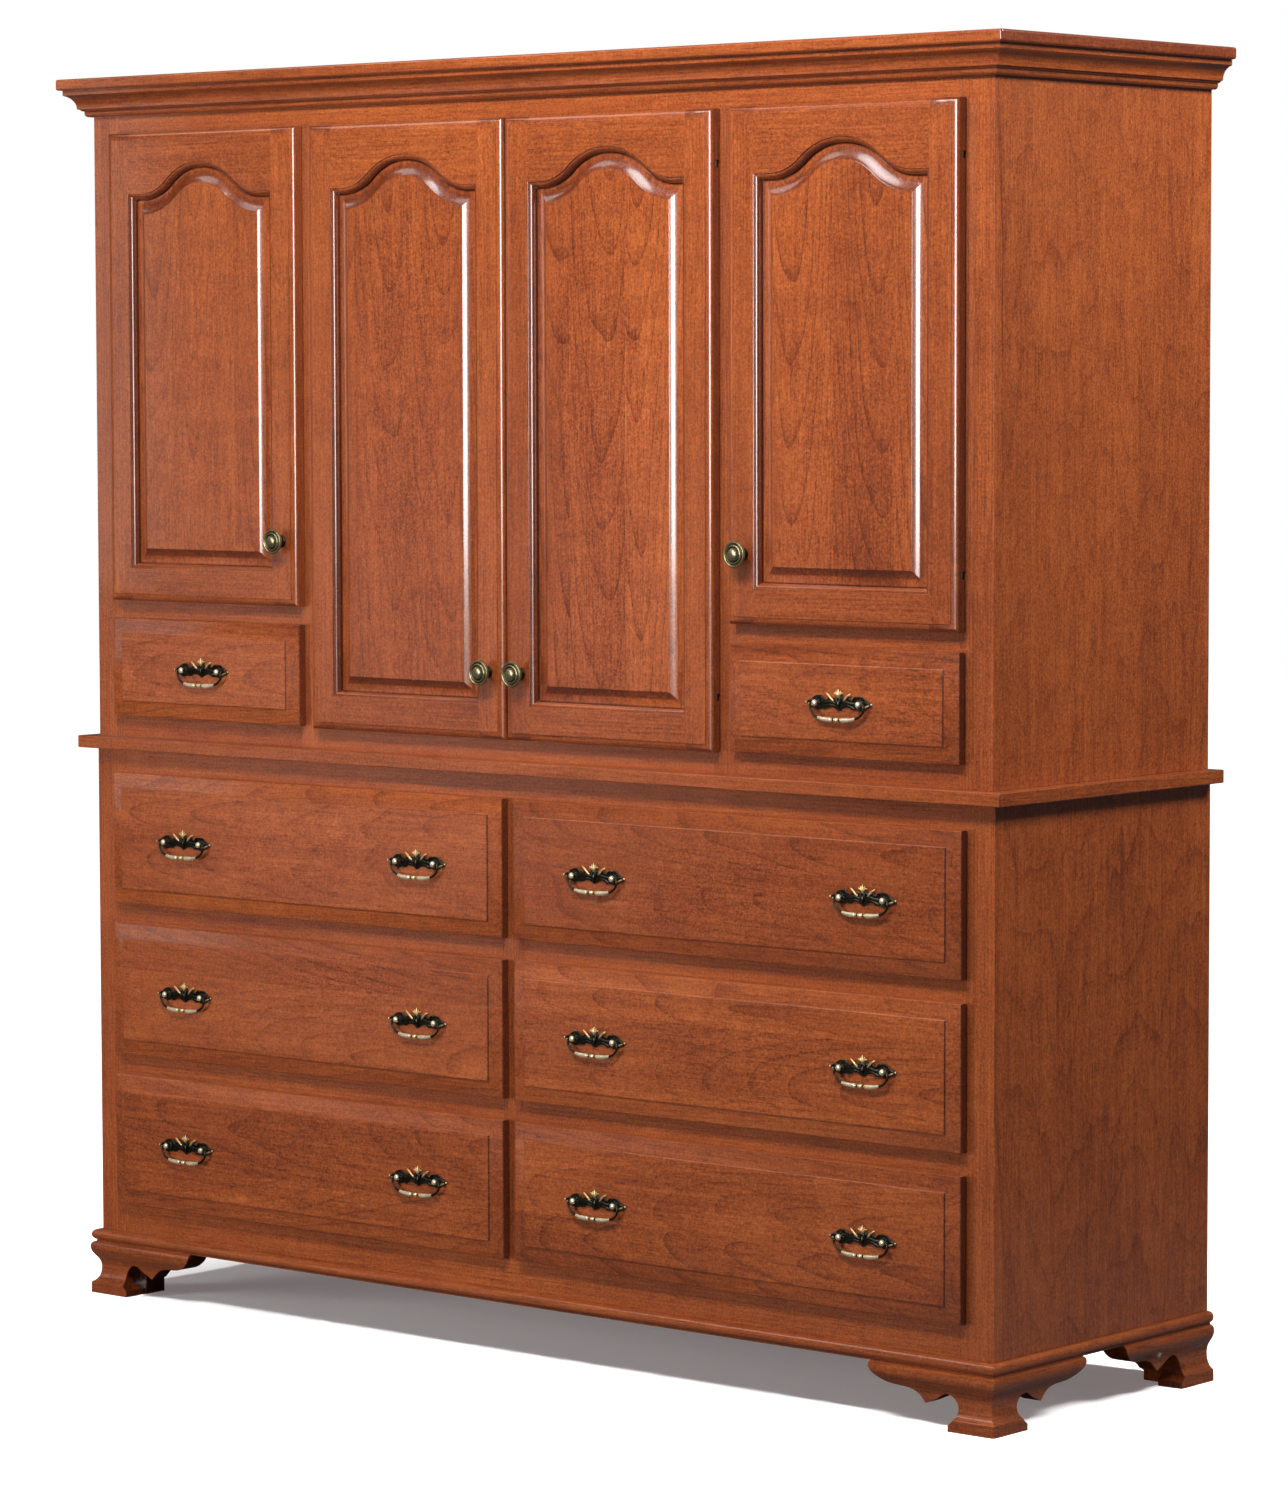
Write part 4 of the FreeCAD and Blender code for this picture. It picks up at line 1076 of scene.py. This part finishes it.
def lower_face_frame():
    """Outer and centre stiles, and the rails over, between and under the drawers."""
    x0, x1 = node_box("top_drawer_right")[:2]
    left, right = x0 + OVERLAY, x1 - OVERLAY
    levels = [BASE_TOP]
    for row in ("bottom", "middle", "top"):
        z0, z1 = node_box(f"{row}_drawer_right")[4:]
        levels += [z0 + OVERLAY, z1 - OVERLAY]
    levels.append(LOWER_TOP)
    boards = {
        "stile_right": (right, HALF_LOWER, BASE_TOP, LOWER_TOP, "stile"),
        "stile_left": (-HALF_LOWER, -right, BASE_TOP, LOWER_TOP, "stile"),
        "stile_centre": (-left, left, levels[1], levels[-2], "stile"),
        "rail_top": (-right, right, levels[-2], LOWER_TOP, "rail"),
        "rail_bottom": (-right, right, BASE_TOP, levels[1], "rail"),
    }
    for number, (low, high) in enumerate(zip(levels[2:-2:2], levels[3:-2:2]), 1):
        boards[f"rail_right_{number}"] = (left, right, low, high, "rail")
        boards[f"rail_left_{number}"] = (-right, -left, low, high, "rail")
    face_frame("lower_face_frame", boards)


def upper_face_frame():
    """Outer and inner stiles, top and bottom rails, and rails under the outer doors."""
    inner = node_box("inner_door_right")[1] - OVERLAY
    x0, x1, _, _, z0, z1 = node_box("outer_door_right")
    left, right, deck, ceiling = x0 + OVERLAY, x1 - OVERLAY, z0 + OVERLAY, z1 - OVERLAY
    z0, z1 = node_box("small_drawer_right")[4:]
    drawer_low, drawer_high = z0 + OVERLAY, z1 - OVERLAY
    step = 2.0                  # the wide cupboard's bottom rail is lower than the drawers' rails
    boards = {"rail_top": (-right, right, ceiling, CROWN_TOP, "rail"),
              "rail_bottom": (-inner, inner, DRESSER_TOP, drawer_low - step, "rail")}
    for side, s in SIDES:
        boards[f"stile_{side}"] = (s * right, s * HALF_UPPER, DRESSER_TOP, CROWN_TOP, "stile")
        boards[f"inner_stile_{side}"] = (s * inner, s * left, DRESSER_TOP, ceiling, "stile")
        boards[f"rail_low_{side}"] = (s * left, s * right, DRESSER_TOP, drawer_low, "rail")
        boards[f"rail_deck_{side}"] = (s * left, s * right, drawer_high, deck, "rail")
    face_frame("upper_face_frame", boards)


def carried_over():
    """CAD nodes whose plain shape is right keep it, with a better material."""
    for node, material in (("upper_partitions", "side"), ("shelves_and_decks", "top"),
                           ("shelf_pins_and_dowels", "steel"), ("hinge_brackets", "steel"),
                           ("drawer_runners", "inner")):
        made = frame["nodes"][node]
        made.data.materials.clear()
        made.data.materials.append(MAT[material])


# ---- studio

def area_light(name, at, aim, size, power, spread, diffuse=True, glossy=True):
    """A soft rectangular light: its middle, the point it faces, its width and height, and its spread
    in degrees. It can be kept to the sheen of the lacquer, or out of it."""
    data = bpy.data.lights.new(name, "AREA")
    data.shape = "RECTANGLE"
    data.size, data.size_y = size
    data.energy = power
    data.spread = math.radians(spread)
    lamp = linked(name, data)
    lamp.location = at
    lamp.visible_diffuse = diffuse
    lamp.visible_glossy = glossy
    lamp.rotation_euler = (Vector(aim) - Vector(at)).to_track_quat("-Z", "Y").to_euler()


def studio():
    """A pale floor, a dim even surround that shows white to the lens, and soft lights."""
    bm = bmesh.new()
    bmesh.ops.create_grid(bm, x_segments=8, y_segments=8, size=14.0)
    mesh = bpy.data.meshes.new("floor")
    bm.to_mesh(mesh)
    bm.free()
    mesh.materials.append(MAT["floor"])
    floor = linked("floor", mesh)

    world = bpy.data.worlds.new("studio")
    bpy.context.scene.world = world
    g = Graph(world)
    seen, dim = (g.node("ShaderNodeBackground", {"Color": (1, 1, 1, 1), "Strength": strength})
                 for strength in (1.0, 0.07))
    g.finish_studio("ShaderNodeOutputWorld", dim, seen)

    sun = bpy.data.lights.new("ceiling", "SUN")
    sun.energy = 3.4
    sun.angle = math.radians(14)
    ceiling = linked("ceiling", sun)
    only_floor = bpy.data.collections.new("lit_by_the_ceiling")
    only_floor.objects.link(floor)
    ceiling.light_linking.receiver_collection = only_floor
    area_light("tall_box", (1.45, -3.9, 2.3), (0.3, 0, 1.5), (1.3, 2.6), 72, 100, diffuse=False)
    area_light("arch_box", (-0.1, -3.1, 3.9), (0.5, 0, 1.7), (1.9, 2.2), 21, 70, diffuse=False)
    area_light("arch_fill", (-2.6, -1.85, 4.1), (0.05, 0, 1.65), (1.6, 1.2), 5, 110, diffuse=False)
    area_light("left_veil", (-3.9, -2.8, 1.55), (-0.6, 0, 1.5), (0.8, 1.2), 1.0, 120, diffuse=False)
    area_light("near_top", (0.6, -1.9, 2.95), (0.5, 0, 0.9), (1.7, 0.5), 59, 150, glossy=False)
    area_light("left_low", (-3.3, -3.6, 0.7), (0.0, 0, 0.65), (1.2, 1.4), 56, 120, glossy=False)
    area_light("side_box", (2.9, 1.0, 3.3), (0.87, 0.1, 1.8), (1.1, 1.1), 45, 100)

    view = bpy.context.scene.view_settings
    view.view_transform = "Standard"
    view.look = "None"


CAMERA_AT = (5035.9, -5634.5, 1456.3)
CAMERA_TURN = (40.341, 4.158, -0.129)           # yaw, pitch down and roll in degrees


def camera():
    """A long lens, to the right of the armoire and just above its middle."""
    data = bpy.data.cameras.new("camera")
    data.sensor_width = 36.0
    data.lens = 125.3
    made = linked("camera", data)
    yaw, pitch, roll = (math.radians(angle) for angle in CAMERA_TURN)
    ahead = Vector((-math.sin(yaw) * math.cos(pitch), math.cos(yaw) * math.cos(pitch), -math.sin(pitch)))
    level = Vector((math.cos(yaw), math.sin(yaw), 0))
    upright = level.cross(ahead)
    across = level * math.cos(roll) + upright * math.sin(roll)
    up = across.cross(ahead)
    turn = Matrix((across, up, -ahead)).transposed()
    made.matrix_world = Matrix.Translation(place(CAMERA_AT)) @ turn.to_4x4()
    bpy.context.scene.camera = made


# ---- build

camera()
studio()
cases()
lower_face_frame()
upper_face_frame()
crown()
base()
dresser_top()
feet()
for door_side, hand in SIDES:
    door(f"outer_door_{door_side}", hand)
    door(f"inner_door_{door_side}", hand)
    drawer(f"small_drawer_{door_side}")
    for drawer_row in ("top", "middle", "bottom"):
        drawer(f"{drawer_row}_drawer_{door_side}")
pulls()
carried_over()
